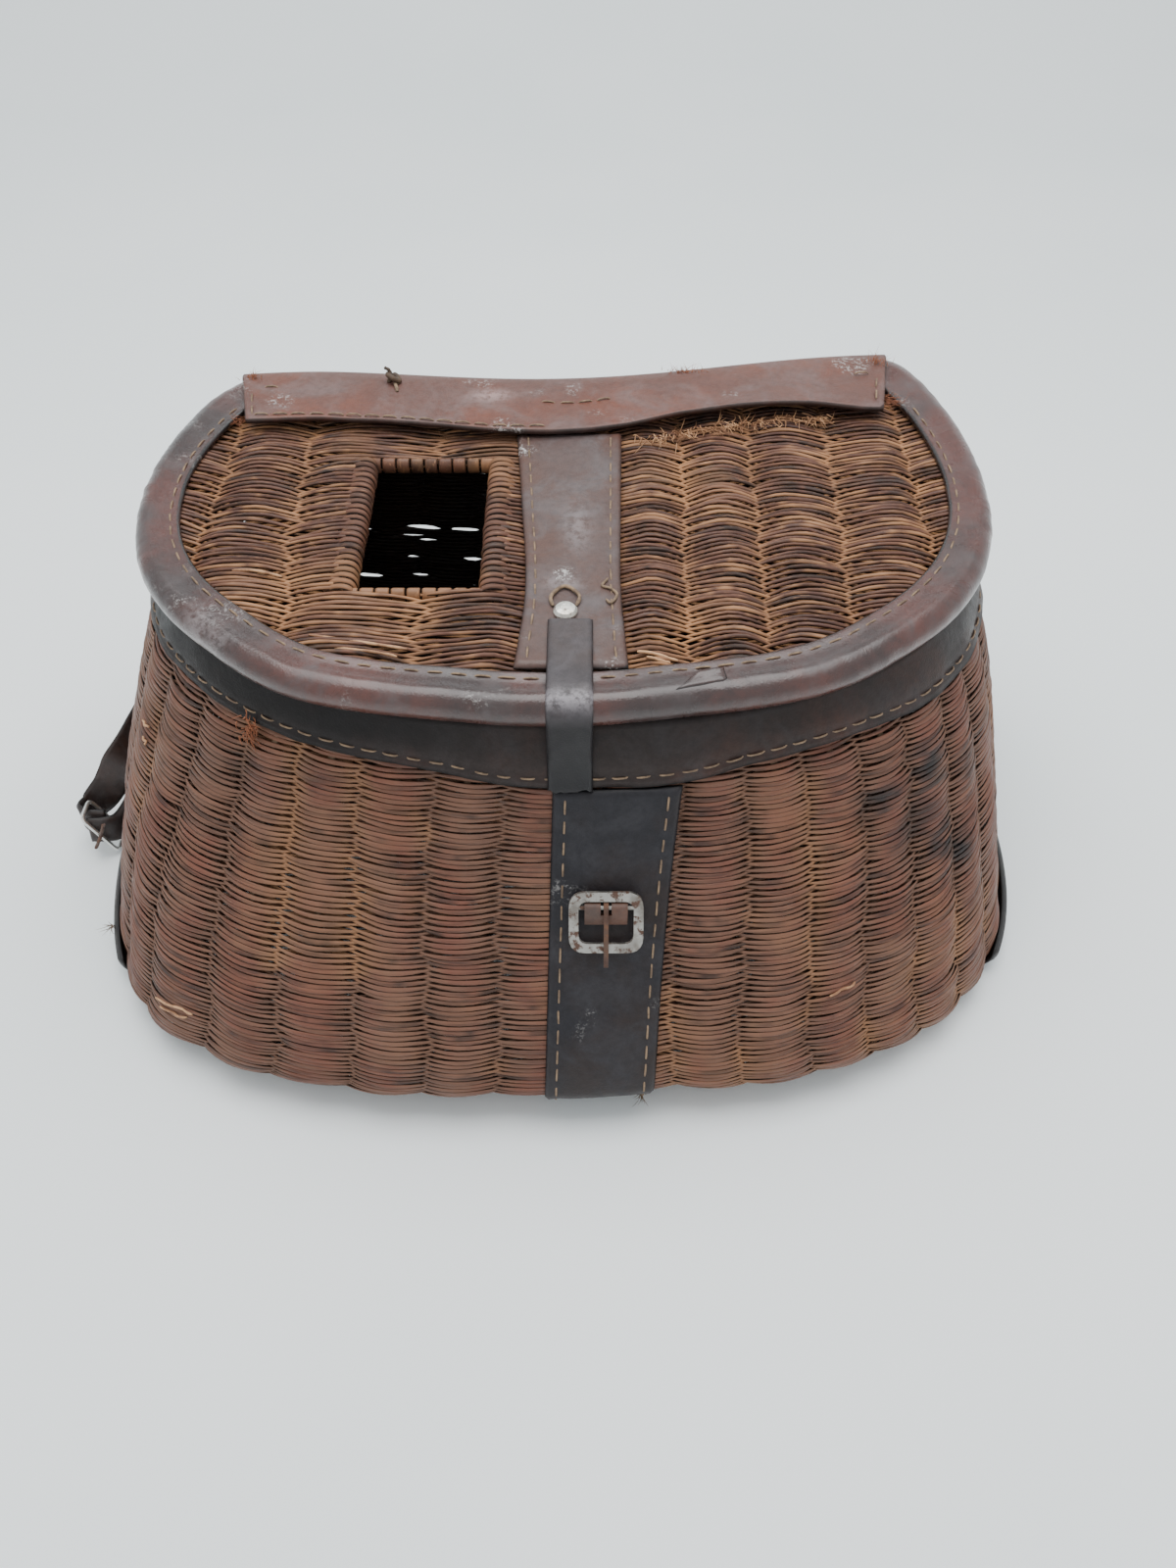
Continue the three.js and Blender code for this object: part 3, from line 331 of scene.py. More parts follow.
def strand_values(tone, crest, stain, way, number, rim):
    """Values at the corners of strands: way is the place along a strand, rim the painted shade round its
    section.
    """
    corners = len(rim)
    level = np.zeros_like(tone)
    across = np.tile(np.arange(corners) * 0.9, tone.size)
    return {
        "tone": flat(tone, corners),
        "crest": flat(crest + level, corners),
        "stain": flat(stain + level, corners),
        "lane": np.stack([flat(way + level, corners), flat(number * 7.7 + level, corners), across], -1),
        "rim": np.tile(rim, tone.size),
    }


# Materials


class Nodes:
    """Short way to write a material's nodes."""

    def __init__(self, name):
        self.material = bpy.data.materials.new(name)
        self.material.use_nodes = True
        self.tree = self.material.node_tree
        self.shader = self.tree.nodes["Principled BSDF"]
        self.place = self.add("ShaderNodeTexCoord").outputs["Object"]

    def add(self, kind, **settings):
        node = self.tree.nodes.new(kind)
        for key, value in settings.items():
            setattr(node, key, value)
        return node

    def link(self, source, target):
        if isinstance(source, (int, float, tuple, list)):
            target.default_value = source
        else:
            self.tree.links.new(source, target)

    def attribute(self, name, output="Fac"):
        return self.add("ShaderNodeAttribute", attribute_name=name).outputs[output]

    def noise(self, scale, detail=4.0, rough=0.55, vector=None, stretch=None, distort=0.0):
        vector = vector or self.place
        if stretch:
            mapping = self.add("ShaderNodeMapping")
            self.link(vector, mapping.inputs["Vector"])
            mapping.inputs["Scale"].default_value = stretch
            vector = mapping.outputs["Vector"]
        node = self.add("ShaderNodeTexNoise")
        self.link(vector, node.inputs["Vector"])
        node.inputs["Scale"].default_value = scale
        node.inputs["Detail"].default_value = detail
        node.inputs["Roughness"].default_value = rough
        node.inputs["Distortion"].default_value = distort
        return node.outputs["Fac"]

    def fade(self, value, low, high, to_low=0.0, to_high=1.0):
        node = self.add("ShaderNodeMapRange", interpolation_type="SMOOTHSTEP")
        self.link(value, node.inputs["Value"])
        for key, number in (("From Min", low), ("From Max", high), ("To Min", to_low), ("To Max", to_high)):
            node.inputs[key].default_value = number
        return node.outputs["Result"]

    def math(self, operation, a, b=0.0):
        node = self.add("ShaderNodeMath", operation=operation)
        self.link(a, node.inputs[0])
        self.link(b, node.inputs[1])
        return node.outputs[0]

    def mix(self, amount, a, b):
        node = self.add("ShaderNodeMix", data_type="RGBA")
        self.link(amount, node.inputs["Factor"])
        self.link(a if not isinstance(a, tuple) else (*a, 1), node.inputs[6])
        self.link(b if not isinstance(b, tuple) else (*b, 1), node.inputs[7])
        return node.outputs[2]

    def bump(self, height, depth, strength):
        node = self.add("ShaderNodeBump")
        self.link(height, node.inputs["Height"])
        node.inputs["Distance"].default_value = depth
        node.inputs["Strength"].default_value = strength
        return node.outputs["Normal"]

    def finish(self, color, rough, normal=None, metal=0.0, **sockets):
        self.link(color, self.shader.inputs["Base Color"])
        self.link(rough, self.shader.inputs["Roughness"])
        self.shader.inputs["Metallic"].default_value = metal
        for key, value in sockets.items():
            self.shader.inputs[key.replace("_", " ")].default_value = value
        if normal:
            self.link(normal, self.shader.inputs["Normal"])
        return self.material


def wicker_material(name, crest, mid, valley, dark, golden):
    """Split willow: streaks, worn crests, pale valleys and painted shade along the edges of each strand,
    where the strands meet.
    """
    n = Nodes(name)
    lane = n.attribute("lane", "Vector")
    streak = n.noise(1.0, 5, 0.6, vector=lane, stretch=(0.05, 1.0, 0.9))
    fibre = n.noise(1.0, 3, 0.6, vector=lane, stretch=(0.25, 3.0, 4.0))
    color = n.mix(n.fade(n.attribute("crest"), 0.2, 0.8), valley, mid)
    blotch = n.noise(26, 5, 0.6)
    color = n.mix(
        n.math("MULTIPLY", n.fade(n.attribute("crest"), 0.6, 0.95), n.fade(blotch, 0.38, 0.58)), color,
        crest
    )
    color = n.mix(n.fade(streak, 0.4, 0.75, 0.0, 0.7), color, dark)
    tone = n.attribute("tone")
    color = n.mix(n.fade(tone, 0.5, 1.0, 0.0, 0.6), color, valley)
    color = n.mix(n.fade(tone, 0.0, 0.4, 0.7, 0.0), color, dark)
    color = n.mix(n.fade(fibre, 0.55, 0.8, 0.0, 0.4), color, tuple(min(1, c * 1.7) for c in valley))
    gold = n.math(
        "MULTIPLY", n.fade(n.noise(19, 4, 0.6), 0.5, 0.62, 0.0, 0.75),
        n.fade(n.attribute("crest"), 0.4, 0.95, 1.0, 0.25)
    )
    color = n.mix(gold, color, golden)
    # Painted shade: the corners marked by rim, at the gaps between strands and on their backs, are darkened
    # and broken up by fine noise.
    groove_shade = n.math("ADD", n.attribute("rim"), n.math("MULTIPLY", n.noise(300, 3, 0.7), 0.5))
    color = n.mix(n.fade(groove_shade, 0.75, 1.2, 0.0, 0.9), color, dark)
    color = n.mix(n.attribute("stain"), color, (0.012, 0.010, 0.010))
    rough = n.fade(n.noise(60, 3), 0.3, 0.7, 0.45, 0.7)
    height = n.math("ADD", n.math("MULTIPLY", streak, 0.7), n.math("MULTIPLY", fibre, 0.4))
    return n.finish(color, rough, n.bump(height, 0.00035, 0.7), Specular_IOR_Level=0.4)


def leather_material(
    name, base, red, grey, dark, red_at=0.55, grey_at=0.5, gloss=0.42, scuffs=0.0, shine=0.4, coat=0.0
):
    """Old leather: cloudy colour, fine grain, creases, dust and dark worn edges."""
    n = Nodes(name)
    cloud = n.noise(22, 5, 0.6)
    patch = n.noise(55, 5, 0.65, distort=0.6)
    color = n.mix(n.fade(cloud, red_at - 0.12, red_at + 0.12), base, red)
    color = n.mix(n.fade(patch, grey_at - 0.08, grey_at + 0.2, 0.0, 0.8), color, grey)
    fine = n.noise(420, 3, 0.6)
    color = n.mix(n.fade(fine, 0.35, 0.75, 0.0, 0.28), color, dark)
    edge = n.attribute("edge")
    color = n.mix(
        n.fade(n.math("ADD", edge, n.math("MULTIPLY", n.noise(120, 3), 0.5)), 0.9, 1.35), color, dark
    )
    if scuffs:
        spots = n.math("MULTIPLY", n.fade(n.noise(38, 2), 0.6, 0.7), n.fade(n.noise(650, 2, 0.8), 0.5, 0.68))
        color = n.mix(n.math("MULTIPLY", spots, scuffs), color, (0.55, 0.52, 0.5))
    color = n.mix(n.attribute("shade"), color, dark)
    worn = n.math("MULTIPLY", n.attribute("wear"), n.fade(n.noise(300, 4, 0.7), 0.35, 0.6))
    color = n.mix(worn, color, tuple(min(1, c * 2.2 + 0.05) for c in grey))
    rough = n.fade(patch, 0.3, 0.7, gloss - 0.08, gloss + 0.16)
    grain = n.add("ShaderNodeTexVoronoi", feature="DISTANCE_TO_EDGE")
    n.link(n.place, grain.inputs["Vector"])
    grain.inputs["Scale"].default_value = 900
    creases = n.noise(90, 6, 0.7, distort=1.2)
    height = n.math(
        "ADD", n.math("MULTIPLY", grain.outputs["Distance"], 0.25), n.math("MULTIPLY", creases, 0.8)
    )
    return n.finish(
        color, rough, n.bump(height, 0.0006, 0.55), Specular_IOR_Level=shine, Coat_Weight=coat,
        Coat_Roughness=0.3
    )


def plain_material(name, low, high, rough, scale=80.0):
    """One colour that drifts between two, with a slight grain."""
    n = Nodes(name)
    color = n.mix(n.fade(n.noise(scale, 5), 0.35, 0.65), low, high)
    return n.finish(color, rough, n.bump(n.noise(scale * 4, 4), 0.0003, 0.6))


def metal_material(name, bright, tarnish, rust, rust_at, metal=0.9):
    """Metal with tarnish and spots of rust."""
    n = Nodes(name)
    spots = n.noise(330, 5, 0.65)
    color = n.mix(n.fade(n.noise(120, 4), 0.4, 0.65), bright, tarnish)
    color = n.mix(n.fade(spots, rust_at, rust_at + 0.1), color, rust)
    rough = n.fade(spots, rust_at - 0.15, rust_at + 0.1, 0.3, 0.75)
    n.link(n.fade(spots, rust_at, rust_at + 0.1, metal, 0.15), n.shader.inputs["Metallic"])
    return n.finish(color, rough, n.bump(n.math("MULTIPLY", spots, -1.0), 0.0004, 0.8), metal=metal)


BODY_WICKER = wicker_material(
    "body_wicker", (0.158, 0.055, 0.033), (0.166, 0.075, 0.045), (0.136, 0.066, 0.039),
    (0.010, 0.006, 0.005), (0.29, 0.137, 0.062))
LID_WICKER = wicker_material(
    "lid_wicker", (0.076, 0.028, 0.018), (0.125, 0.05, 0.03), (0.46, 0.225, 0.1), (0.006, 0.004, 0.003),
    (0.44, 0.21, 0.09))
BINDING_LEATHER = leather_material(
    "binding_leather", (0.031, 0.0145, 0.013), (0.08, 0.021, 0.014), (0.066, 0.05, 0.05),
    (0.008, 0.006, 0.006), red_at=0.48, grey_at=0.58, gloss=0.25, scuffs=0.4, shine=0.55, coat=0.4)
RIM_LEATHER = leather_material(
    "rim_leather", (0.031, 0.0215, 0.0195), (0.06, 0.028, 0.021), (0.05, 0.041, 0.041),
    (0.006, 0.005, 0.005), gloss=0.42, shine=0.2)
BAND_LEATHER = leather_material(
    "lid_band_leather", (0.093, 0.058, 0.052), (0.1, 0.048, 0.035), (0.115, 0.096, 0.097),
    (0.025, 0.02, 0.02), scuffs=0.9)
FRONT_LEATHER = leather_material(
    "front_band_leather", (0.020, 0.0185, 0.022), (0.028, 0.02, 0.019), (0.036, 0.034, 0.039),
    (0.006, 0.0055, 0.006), scuffs=0.3, shine=0.22)
LATCH_LEATHER = leather_material(
    "latch_leather", (0.06, 0.051, 0.054), (0.06, 0.042, 0.039), (0.09, 0.08, 0.086), (0.008, 0.007, 0.008),
    shine=0.35)
HINGE_LEATHER = leather_material(
    "hinge_leather", (0.117, 0.05, 0.038), (0.155, 0.051, 0.031), (0.158, 0.104, 0.097),
    (0.03, 0.018, 0.015), scuffs=0.5)
STRAP_LEATHER = leather_material(
    "strap_leather", (0.03, 0.02, 0.018), (0.05, 0.027, 0.021), (0.06, 0.052, 0.052), (0.01, 0.008, 0.008))
BLACK_LEATHER = leather_material(
    "base_leather", (0.016, 0.0135, 0.014), (0.024, 0.016, 0.014), (0.03, 0.028, 0.028),
    (0.006, 0.005, 0.005))
CHAPE_LEATHER = leather_material(
    "chape_leather", (0.09, 0.045, 0.03), (0.12, 0.05, 0.03), (0.08, 0.06, 0.055), (0.012, 0.009, 0.008))
TAN_THREAD = plain_material("tan_thread", (0.27, 0.18, 0.11), (0.13, 0.085, 0.055), 0.8, 350)
FIBRE = plain_material("torn_fibre", (0.38, 0.13, 0.06), (0.22, 0.08, 0.04), 0.85, 300)
SPLIT_ENDS = plain_material("split_ends", (0.55, 0.31, 0.16), (0.26, 0.12, 0.06), 0.7, 200)
KNOT_LEATHER = plain_material("knot_leather", (0.05, 0.032, 0.022), (0.10, 0.06, 0.035), 0.7, 200)
STAKE_WOOD = plain_material("stake_wood", (0.06, 0.035, 0.02), (0.12, 0.07, 0.04), 0.8)
NICKEL = metal_material("pitted_nickel", (0.75, 0.72, 0.66), (0.5, 0.45, 0.38), (0.1, 0.06, 0.04), 0.58)
BUCKLE_METAL = metal_material(
    "buckle_metal", (0.42, 0.4, 0.37), (0.23, 0.205, 0.18), (0.09, 0.045, 0.03), 0.52
)
RUST_METAL = metal_material(
    "rusted_steel", (0.10, 0.055, 0.038), (0.065, 0.032, 0.023), (0.13, 0.058, 0.032), 0.5, 0.4
)
WIRE_METAL = metal_material("wire_metal", (0.8, 0.79, 0.76), (0.6, 0.58, 0.54), (0.2, 0.15, 0.1), 0.68)


def dress(piece, material, body, *replaced):
    """Gives a piece its material and its body, and hides the nodes it stands for."""
    piece.data.materials.append(material)
    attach(piece, body)
    if replaced:
        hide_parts(*replaced)
    return piece


# Basket weave


def wall_phase(share, up):
    """Whole numbers at the valleys between stakes."""
    stake = (np.mod(share + 0.5, 1.0) - 0.5) * STAKES
    top = np.interp(stake, VALLEYS["top"], VALLEYS["count"])
    foot = np.interp(stake, VALLEYS["foot"], VALLEYS["count"])
    mixed = np.clip((np.asarray(up) - 0.25) / 0.58, 0, 1)
    return foot + (top - foot) * mixed


def open_slits(share, up):
    """Heights moved apart at the gaps, and how flat the strands lie there."""
    flatter = np.zeros_like(up)
    for stake, height, reach, opening in SLITS:
        near = np.exp(-((share * STAKES - stake) / reach) ** 4)
        away = (up - height) * RIM_HEIGHT
        up = up + near * opening * np.sign(away) * np.exp(-np.abs(away) / 4) / RIM_HEIGHT
        flatter = np.maximum(flatter, near * np.exp(-(away / 5) ** 2))
    return up, flatter


def stained(share, up, row):
    """How dark the stains make each place of the wall."""
    stain = np.zeros_like(up)
    for stake, height, wide, high, strength in STAINS:
        spot = np.exp(-(((share * STAKES - stake) / wide) ** 2 + ((up - height) / high) ** 2) ** 1.5)
        stain = np.maximum(stain, strength * spot)
    mottle = 0.8 + 0.7 * noise(share * 130, up * 40, 10) + 0.4 * noise(share * 400, row * 3.3, 11)
    return stain * np.clip(mottle, 0, 1)


WALL_STEPS = STAKES * 8
WALL_START, WALL_END = 0.008, 0.985
STRAND_THICK = 0.58
WALL_NAMES = (
    "wicker_weave_low", "wicker_weave_lower_middle", "wicker_weave_upper_middle", "wicker_weave_high",
)


def body_weave():
    # One strand winds up the wall; it starts at the back's middle.
    row = np.arange(ROWS)[:, None]
    along = np.arange(WALL_STEPS + 1)[None, :] / WALL_STEPS
    share = along - 0.5
    turn_up = WALL_START + (WALL_END - WALL_START) * (row + along) / ROWS
    phase = wall_phase(share, turn_up) + 0.06 * noise(share * 30, turn_up * 22, 13)
    phase = phase + 0.06 * noise(share * 70, row * 1.7, 15)
    # The winding strand changes side at every stake, and an odd number of stakes alternates the rows.
    wave = np.cos(PI * (phase + 0.5 + row))
    wander = 1.0 * noise(share * 26, turn_up * 7, 3) + 0.35 * noise(share * 75, turn_up * 25, 4)
    own = 0.2 * noise(share * 60, row * 7.31, 5)
    moved = wander * np.sin(PI * np.clip(turn_up, 0, 1)) ** 0.5 + own
    up, flatter = open_slits(share, np.clip(turn_up + moved / RIM_HEIGHT, 0.004, 0.99))
    under_band = smoothstep(0.85, 0.875, up)
    behind = smoothstep(0.24, 0.3, np.abs(share))
    amplitude = (1.95 - 0.9 * under_band) * (1 - 0.35 * behind) * (1 - 0.85 * flatter)
    depth = -0.9 - 0.55 * under_band + amplitude * np.sign(wave) * np.abs(wave) ** 0.8
    depth = depth + (0.3 * noise(share * 50, row * 3.7, 6) - 0.15) * (1 - 0.5 * under_band)
    centre = wall(share, up, depth)
    above, below = np.clip(up + 0.01, 0, 1), np.clip(up - 0.01, 0, 1)
    step_up = unit(wall(share, above, depth) - wall(share, below, depth))
    outward = unit(np.cross(unit(np.gradient(centre, axis=1)), step_up))
    uneven = 0.97 + 0.16 * noise(share * 40, row * 5.1, 7) + 0.1 * noise(share * 110, row * 2.9, 12)
    tall = (0.38 + 0.14 * behind + (0.6 - 0.14 * behind) * np.abs(wave) ** 0.5) * uneven
    tall = tall * (1 + 0.3 * behind * (1 - flatter))
    tilt = np.where(wave > 0, 0.16, -0.16) * np.abs(wave)
    points, faces = strands(centre, outward, step_up, STRAND_THICK, tall, HEX, tilt=tilt)
    tone = 0.5 + 0.35 * noise(phase * 0.9, row * 2.3, 8) + 0.25 * noise(share * 300, row * 9.1, 9)
    crest = np.clip(0.5 + 0.5 * wave, 0, 1)
    values = strand_values(tone, crest, stained(share, up, row), share * ROUND, row, HEX_SHADE)
    wall_pieces(points.reshape(-1, 3), faces, values)


def wall_pieces(points, faces, values):
    """The wall's weave in four pieces, one above the other."""
    quarter = ROWS // len(WALL_NAMES)
    per_row = (WALL_STEPS + 1) * len(HEX)
    row_faces = WALL_STEPS * len(HEX)
    for k, name in enumerate(WALL_NAMES):
        a, b = k * quarter, (k + 1) * quarter
        part = {key: value[a * per_row:b * per_row] for key, value in values.items()}
        own_faces = faces[a * row_faces:b * row_faces] - a * per_row
        piece = make_mesh(name, points[a * per_row:b * per_row], own_faces, part)
        dress(piece, BODY_WICKER, "basket", "wicker_body")


body_weave()


def body_stakes():
    heights = np.linspace(0.012, 0.985, 16)
    number = np.arange(STAKES) - STAKES / 2 + 1.0
    grid = np.linspace(-0.5, 0.4999, 1481)
    share = np.stack([np.interp(number, wall_phase(grid, height), grid) for height in heights], 1)
    centre = wall(share, heights[None, :], -0.75)
    outward = unit(wall(share, heights[None, :], 0.0) - centre)
    beside = unit(np.cross(np.gradient(centre, axis=1), outward))
    points, faces = strands(centre, outward, beside, 0.75, 1.5, round_section(8))
    dress(make_mesh("wicker_stakes", points, faces), STAKE_WOOD, "basket")


body_stakes()


# Base

BASE_PITCH = 3.4
# Behind this place a strand ends at the points of the edge that lie nearest to the middle.
BASE_HOLLOW = WIDEST_Y + 60


def base_weave():
    rows = []
    edge_share = np.linspace(0, 1, 1200, endpoint=False)
    edge = wall(edge_share, 0.02, -4.2)
    for k, y in enumerate(np.arange(edge[:, 1].min() + 2.0, edge[:, 1].max() - 1.0, BASE_PITCH)):
        near = edge[np.abs(edge[:, 1] - y) < 2.0][:, 0]
        if len(near) < 2:
            continue
        left, right = near.min(), near.max()
        if (near < 0).any() and y > BASE_HOLLOW:
            left = near[near < 0].max()
        if (near > 0).any() and y > BASE_HOLLOW:
            right = near[near > 0].min()
        rows.append((k, y, left, right))
    t = np.linspace(0, 1, 73)[None, :]
    number, y, left, right = (np.array([row[k] for row in rows])[:, None] for k in range(4))
    y = y + 0 * t
    x = left + (right - left) * t
    wave = np.cos(PI * (x / 24.0 + number))
    centre = np.stack([x, y, 2.7 + 1.2 * wave], -1)
    upward = np.broadcast_to([0.0, 0.0, 1.0], centre.shape)
    outward = np.broadcast_to([0.0, -1.0, 0.0], centre.shape)
    points, faces = strands(centre, upward, outward, 0.8, 1.75, HEX)
    tone = 0.5 + 0.4 * noise(x / 24, number * 3.1, 14)
    values = strand_values(tone, 0.5 + 0.5 * wave, 0.0, x, number, HEX_SHADE)
    piece = make_mesh("wicker_base", points, faces, values)
    dress(piece, BODY_WICKER, "basket")


base_weave()


# Lid weave


def lid_phase(x, y):
    """Whole numbers at the lid's stakes."""
    back = np.interp(x, LID_STAKES["back"], LID_STAKES["phase"])
    middle = np.interp(x, LID_STAKES["middle"], LID_STAKES["phase"])
    front = np.interp(x, LID_STAKES["front"], LID_STAKES["phase"])
    y = np.asarray(y, float)
    rear = np.clip((y + 30) / 45, 0, 1)
    fore = np.clip((-30 - y) / 65, 0, 1)
    return middle + (back - middle) * rear + (front - middle) * fore


LID_PITCH, LID_STEP = 1.2, 3.4


def lid_rows():
    """Ends of each lid strand: number, y, left x and right x."""
    share = np.linspace(0, 1, 4000, endpoint=False)
    x, y = lid_edge(share, ROLL + 4.0)
    rows = []
    number = 0
    at = -LID_FRONT + ROLL + 5.5
    while at < LID_BACK - 10:
        near = np.abs(y - at) < 0.6
        left, right = x[near & (x < 0)], x[near & (x > 0)]
        if len(left) and len(right):
            ends = (left.min(), right.max())
            if HOLE_Y - HOLE_L / 2 - END_ROLL * 0.6 < at < HOLE_Y + HOLE_L / 2 + END_ROLL * 0.6:
                rows.append((number, at, ends[0], HOLE_X - HOLE_W / 2 - SIDE_ROLL * 0.55))
                rows.append((number, at, HOLE_X + HOLE_W / 2 + SIDE_ROLL * 0.55, ends[1]))
            else:
                rows.append((number, at, ends[0], ends[1]))
        number += 1
        at += LID_PITCH
    return rows


def lid_strands(x, y0, number):
    """Points, faces and values of strands through the places x at the depths y0."""
    phase = lid_phase(x, y0) + 0.05 * noise(x / 30, y0 / 5, 29) + 0.06 * noise(x / 12, number * 1.7, 30)
    wander = 1.5 * noise(x / 34, y0 / 17, 21) + 0.55 * noise(x / 11, y0 / 6, 22)
    own = 0.27 * noise(x / 16, number * 7.31, 23)
    hole_edge = smoothstep(0, 10, np.abs(y0 - HOLE_Y) - HOLE_L / 2 - 1.5)
    beside = smoothstep(HOLE_W / 2 + 24, HOLE_W / 2 + 4, np.abs(x - HOLE_X))
    calm = 1 - 0.85 * beside * (1 - hole_edge)
    y = y0 + (wander + own + 0.6 * np.cos(2 * PI * phase)) * calm
    wave = np.cos(PI * (phase + number))
    free = np.clip((np.abs(x - 3) - 22) / 6, 0, 1) * np.clip((38 - y0) / 8, 0, 1)
    height = (2.45 + 0.8 * free) * np.sign(wave) * np.abs(wave) ** 0.85
    height = height + 0.35 * noise(x / 20, number * 3.7, 24)
    centre = lid_at(x, y, height)
    back = np.broadcast_to(LID_ALONG, centre.shape)
    lift = unit(np.cross(unit(np.gradient(centre, axis=1)), back))
    lift = np.where(lift[..., 2:3] < 0, -lift, lift)
    uneven = 0.93 + 0.24 * noise(x / 14, number * 5.1, 25) + 0.12 * noise(x / 5, number * 2.9, 28)
    tall = (0.56 + 0.45 * np.abs(wave) ** 0.5) * uneven
    tilt = np.where(wave > 0, -0.25, 0.25) * np.abs(wave)
    points, faces = strands(centre, lift, back, 0.75, tall, LID_HEX, tilt=tilt)
    tone = 0.5 + 0.5 * noise(phase * 0.9, number * 2.3, 26) + 0.3 * noise(x / 3, number * 9.1, 27)
    crest = np.clip(0.5 + 0.5 * wave, 0, 1)
    return points, faces, strand_values(tone, crest, 0.0, x, number, LID_SHADE)


def lid_weave():
    groups = {}
    for number, y, left, right in lid_rows():
        count = max(6, int(round((right - left) / LID_STEP)))
        groups.setdefault(count, []).append((number, y, left, right))
    points, faces, values = [], [], {}
    first = 0
    for count, rows in groups.items():
        t = np.linspace(0, 1, count + 1)[None, :]
        table = np.array(rows)
        number, y0, left, right = (table[:, k:k + 1] for k in range(4))
        own_points, own_faces, own_values = lid_strands(left + (right - left) * t, y0, number)
        points.append(own_points.reshape(-1, 3))
        faces.append(own_faces + first)
        first += own_points.size // 3
        for key, value in own_values.items():
            values.setdefault(key, []).append(value)
    values = {key: np.concatenate(value) for key, value in values.items()}
    piece = make_mesh("lid_weave", np.concatenate(points), np.concatenate(faces), values)
    dress(piece, LID_WICKER, "lid", "lid_panel")


lid_weave()


# Front and back border of the hole: distance of the wrapping splints, half sizes of a loop and of a splint.
END_WRAP = {"pitch": 5.5, "loop": (1.75, 2.7), "splint": (0.5, 2.68)}


def end_wraps(name, side):
    """Splints wrapped round the hole's front or back border."""
    x = np.arange(HOLE_X - HOLE_W / 2 - 1, HOLE_X + HOLE_W / 2 + 3, END_WRAP["pitch"])
    middle = lid_at(x, HOLE_Y + side * (HOLE_L / 2 + END_ROLL / 2), 0)[:, None, :]
    angle = np.radians(np.linspace(0, 360, 15))[None, :, None]
    deep, high = END_WRAP["loop"]
    thick, tall = END_WRAP["splint"]
    centre = middle + LID_ALONG * np.cos(angle) * deep + LID_UP * np.sin(angle) * high
    outward = np.broadcast_to(unit(LID_ALONG * np.cos(angle) + LID_UP * np.sin(angle)), centre.shape)
    axis = np.broadcast_to([1.0, 0.0, 0.0], centre.shape)
    number = np.arange(len(x))[:, None]
    size = tall * (0.97 + 0.1 * noise(number * 3.3, 0.5, 31)) + 0 * angle[..., 0]
    points, faces = strands(centre, outward, axis, thick, size, HEX)
    tone = 0.32 + 0.3 * noise(number * 1.7 + 0 * angle[..., 0], 0.3, 32)
    values = strand_values(tone, 0.7, 0.0, np.degrees(angle[..., 0]) * 0.1, number, HEX_SHADE)
    dress(make_mesh(name, points, faces, values), LID_WICKER, "lid")


# Side border of the hole: way of a wrapping split, from the weave over the roll and down into the hole.
SIDE_WRAP = {
    "out": [10.5, 8.4, 6.0, 3.4, 1.2, 0.1, 0.1, 1.6, 4.0],
    "up": [0.9, 2.9, 4.0, 4.2, 3.3, 1.2, -1.4, -3.2, -3.6],
}


SIDE_PITCH, SIDE_THICK = 3.3, 0.62
SIDE_ANGLES = (0, 40, 75, 105, 140, 180, 270)
# Painted shade on both side edges of each split, where neighbouring splits meet.
SIDE_SHADE = [0.0, 0.1, 0.9, 0.9, 0.1, 0.0, 1.0]


def side_wraps(name, side):
    """Splits wrapped round the hole's left or right border."""
    y = np.arange(HOLE_Y - HOLE_L / 2 - 2.6, HOLE_Y + HOLE_L / 2 + 3, SIDE_PITCH)[:, None]
    number = np.arange(len(y))[:, None]
    t = np.linspace(0, len(SIDE_WRAP["out"]) - 1, 25)[None, :]
    key = {"t": np.arange(len(SIDE_WRAP["out"])), **SIDE_WRAP}
    out = read_table(key, "t", "out", t) + 0.35 * noise(number * 2.7, 0.5, 33)
    up = read_table(key, "t", "up", t) + 0.2 * noise(number * 1.9, 1.5, 34)
    out, up = np.broadcast_arrays(out + 0 * number, up + 0 * number)
    slant = (0.9 * noise(number * 1.3, 2.5, 35) + 0.8) * np.clip(out / 10, 0, 1) ** 2
    centre = lid_at(HOLE_X + side * (HOLE_W / 2 + out), y + slant, up)
    along = unit(np.gradient(centre, axis=1))
    across = unit(LID_ALONG - along * (along * LID_ALONG).sum(-1, keepdims=True))
    outward = unit(np.cross(along, across)) * side
    width = (1.5 + 0.12 * noise(number * 3.1, 0.5, 36)) * (1 - 0.45 * smoothstep(7, 10.5, out))
    section = [(math.cos(a), math.sin(a)) for a in np.radians(SIDE_ANGLES)]
    points, faces = strands(centre, outward, across, SIDE_THICK, width, section)
    tone = 0.34 + 0.3 * noise(number * 1.7 + 0 * t, 0.3, 32)
    values = strand_values(tone, 0.75, 0.0, t * 2, number, SIDE_SHADE)
    dress(make_mesh(name, points, faces, values), LID_WICKER, "lid")


side_wraps("hole_wrap_left", -1)
side_wraps("hole_wrap_right", 1)
end_wraps("hole_wrap_front", -1)
end_wraps("hole_wrap_back", 1)


# Leather


def closed_leather(name, section, share, point, edge, material, body, *replaced):
    """Ring of leather: section is a row of (a, b) pairs, point(a, b, share) gives places."""
    a = np.array([s[0] for s in section])[:, None]
    b = np.array([s[1] for s in section])[:, None]
    points = point(a, b, share[None, :])
    faces = grid_faces(len(section), len(share), close_rows=True, close_columns=True)
    values = {"edge": np.broadcast_to(np.array(edge)[:, None], points.shape[:2]).ravel()}
    piece = make_mesh(name, points, faces, values)
    return dress(piece, material, body, *replaced)


def outward_faces(piece):
    """Turns faces so that they look out."""
    work = bmesh.new()
    work.from_mesh(piece.data)
    bmesh.ops.recalc_face_normals(work, faces=work.faces)
    work.to_mesh(piece.data)
    work.free()


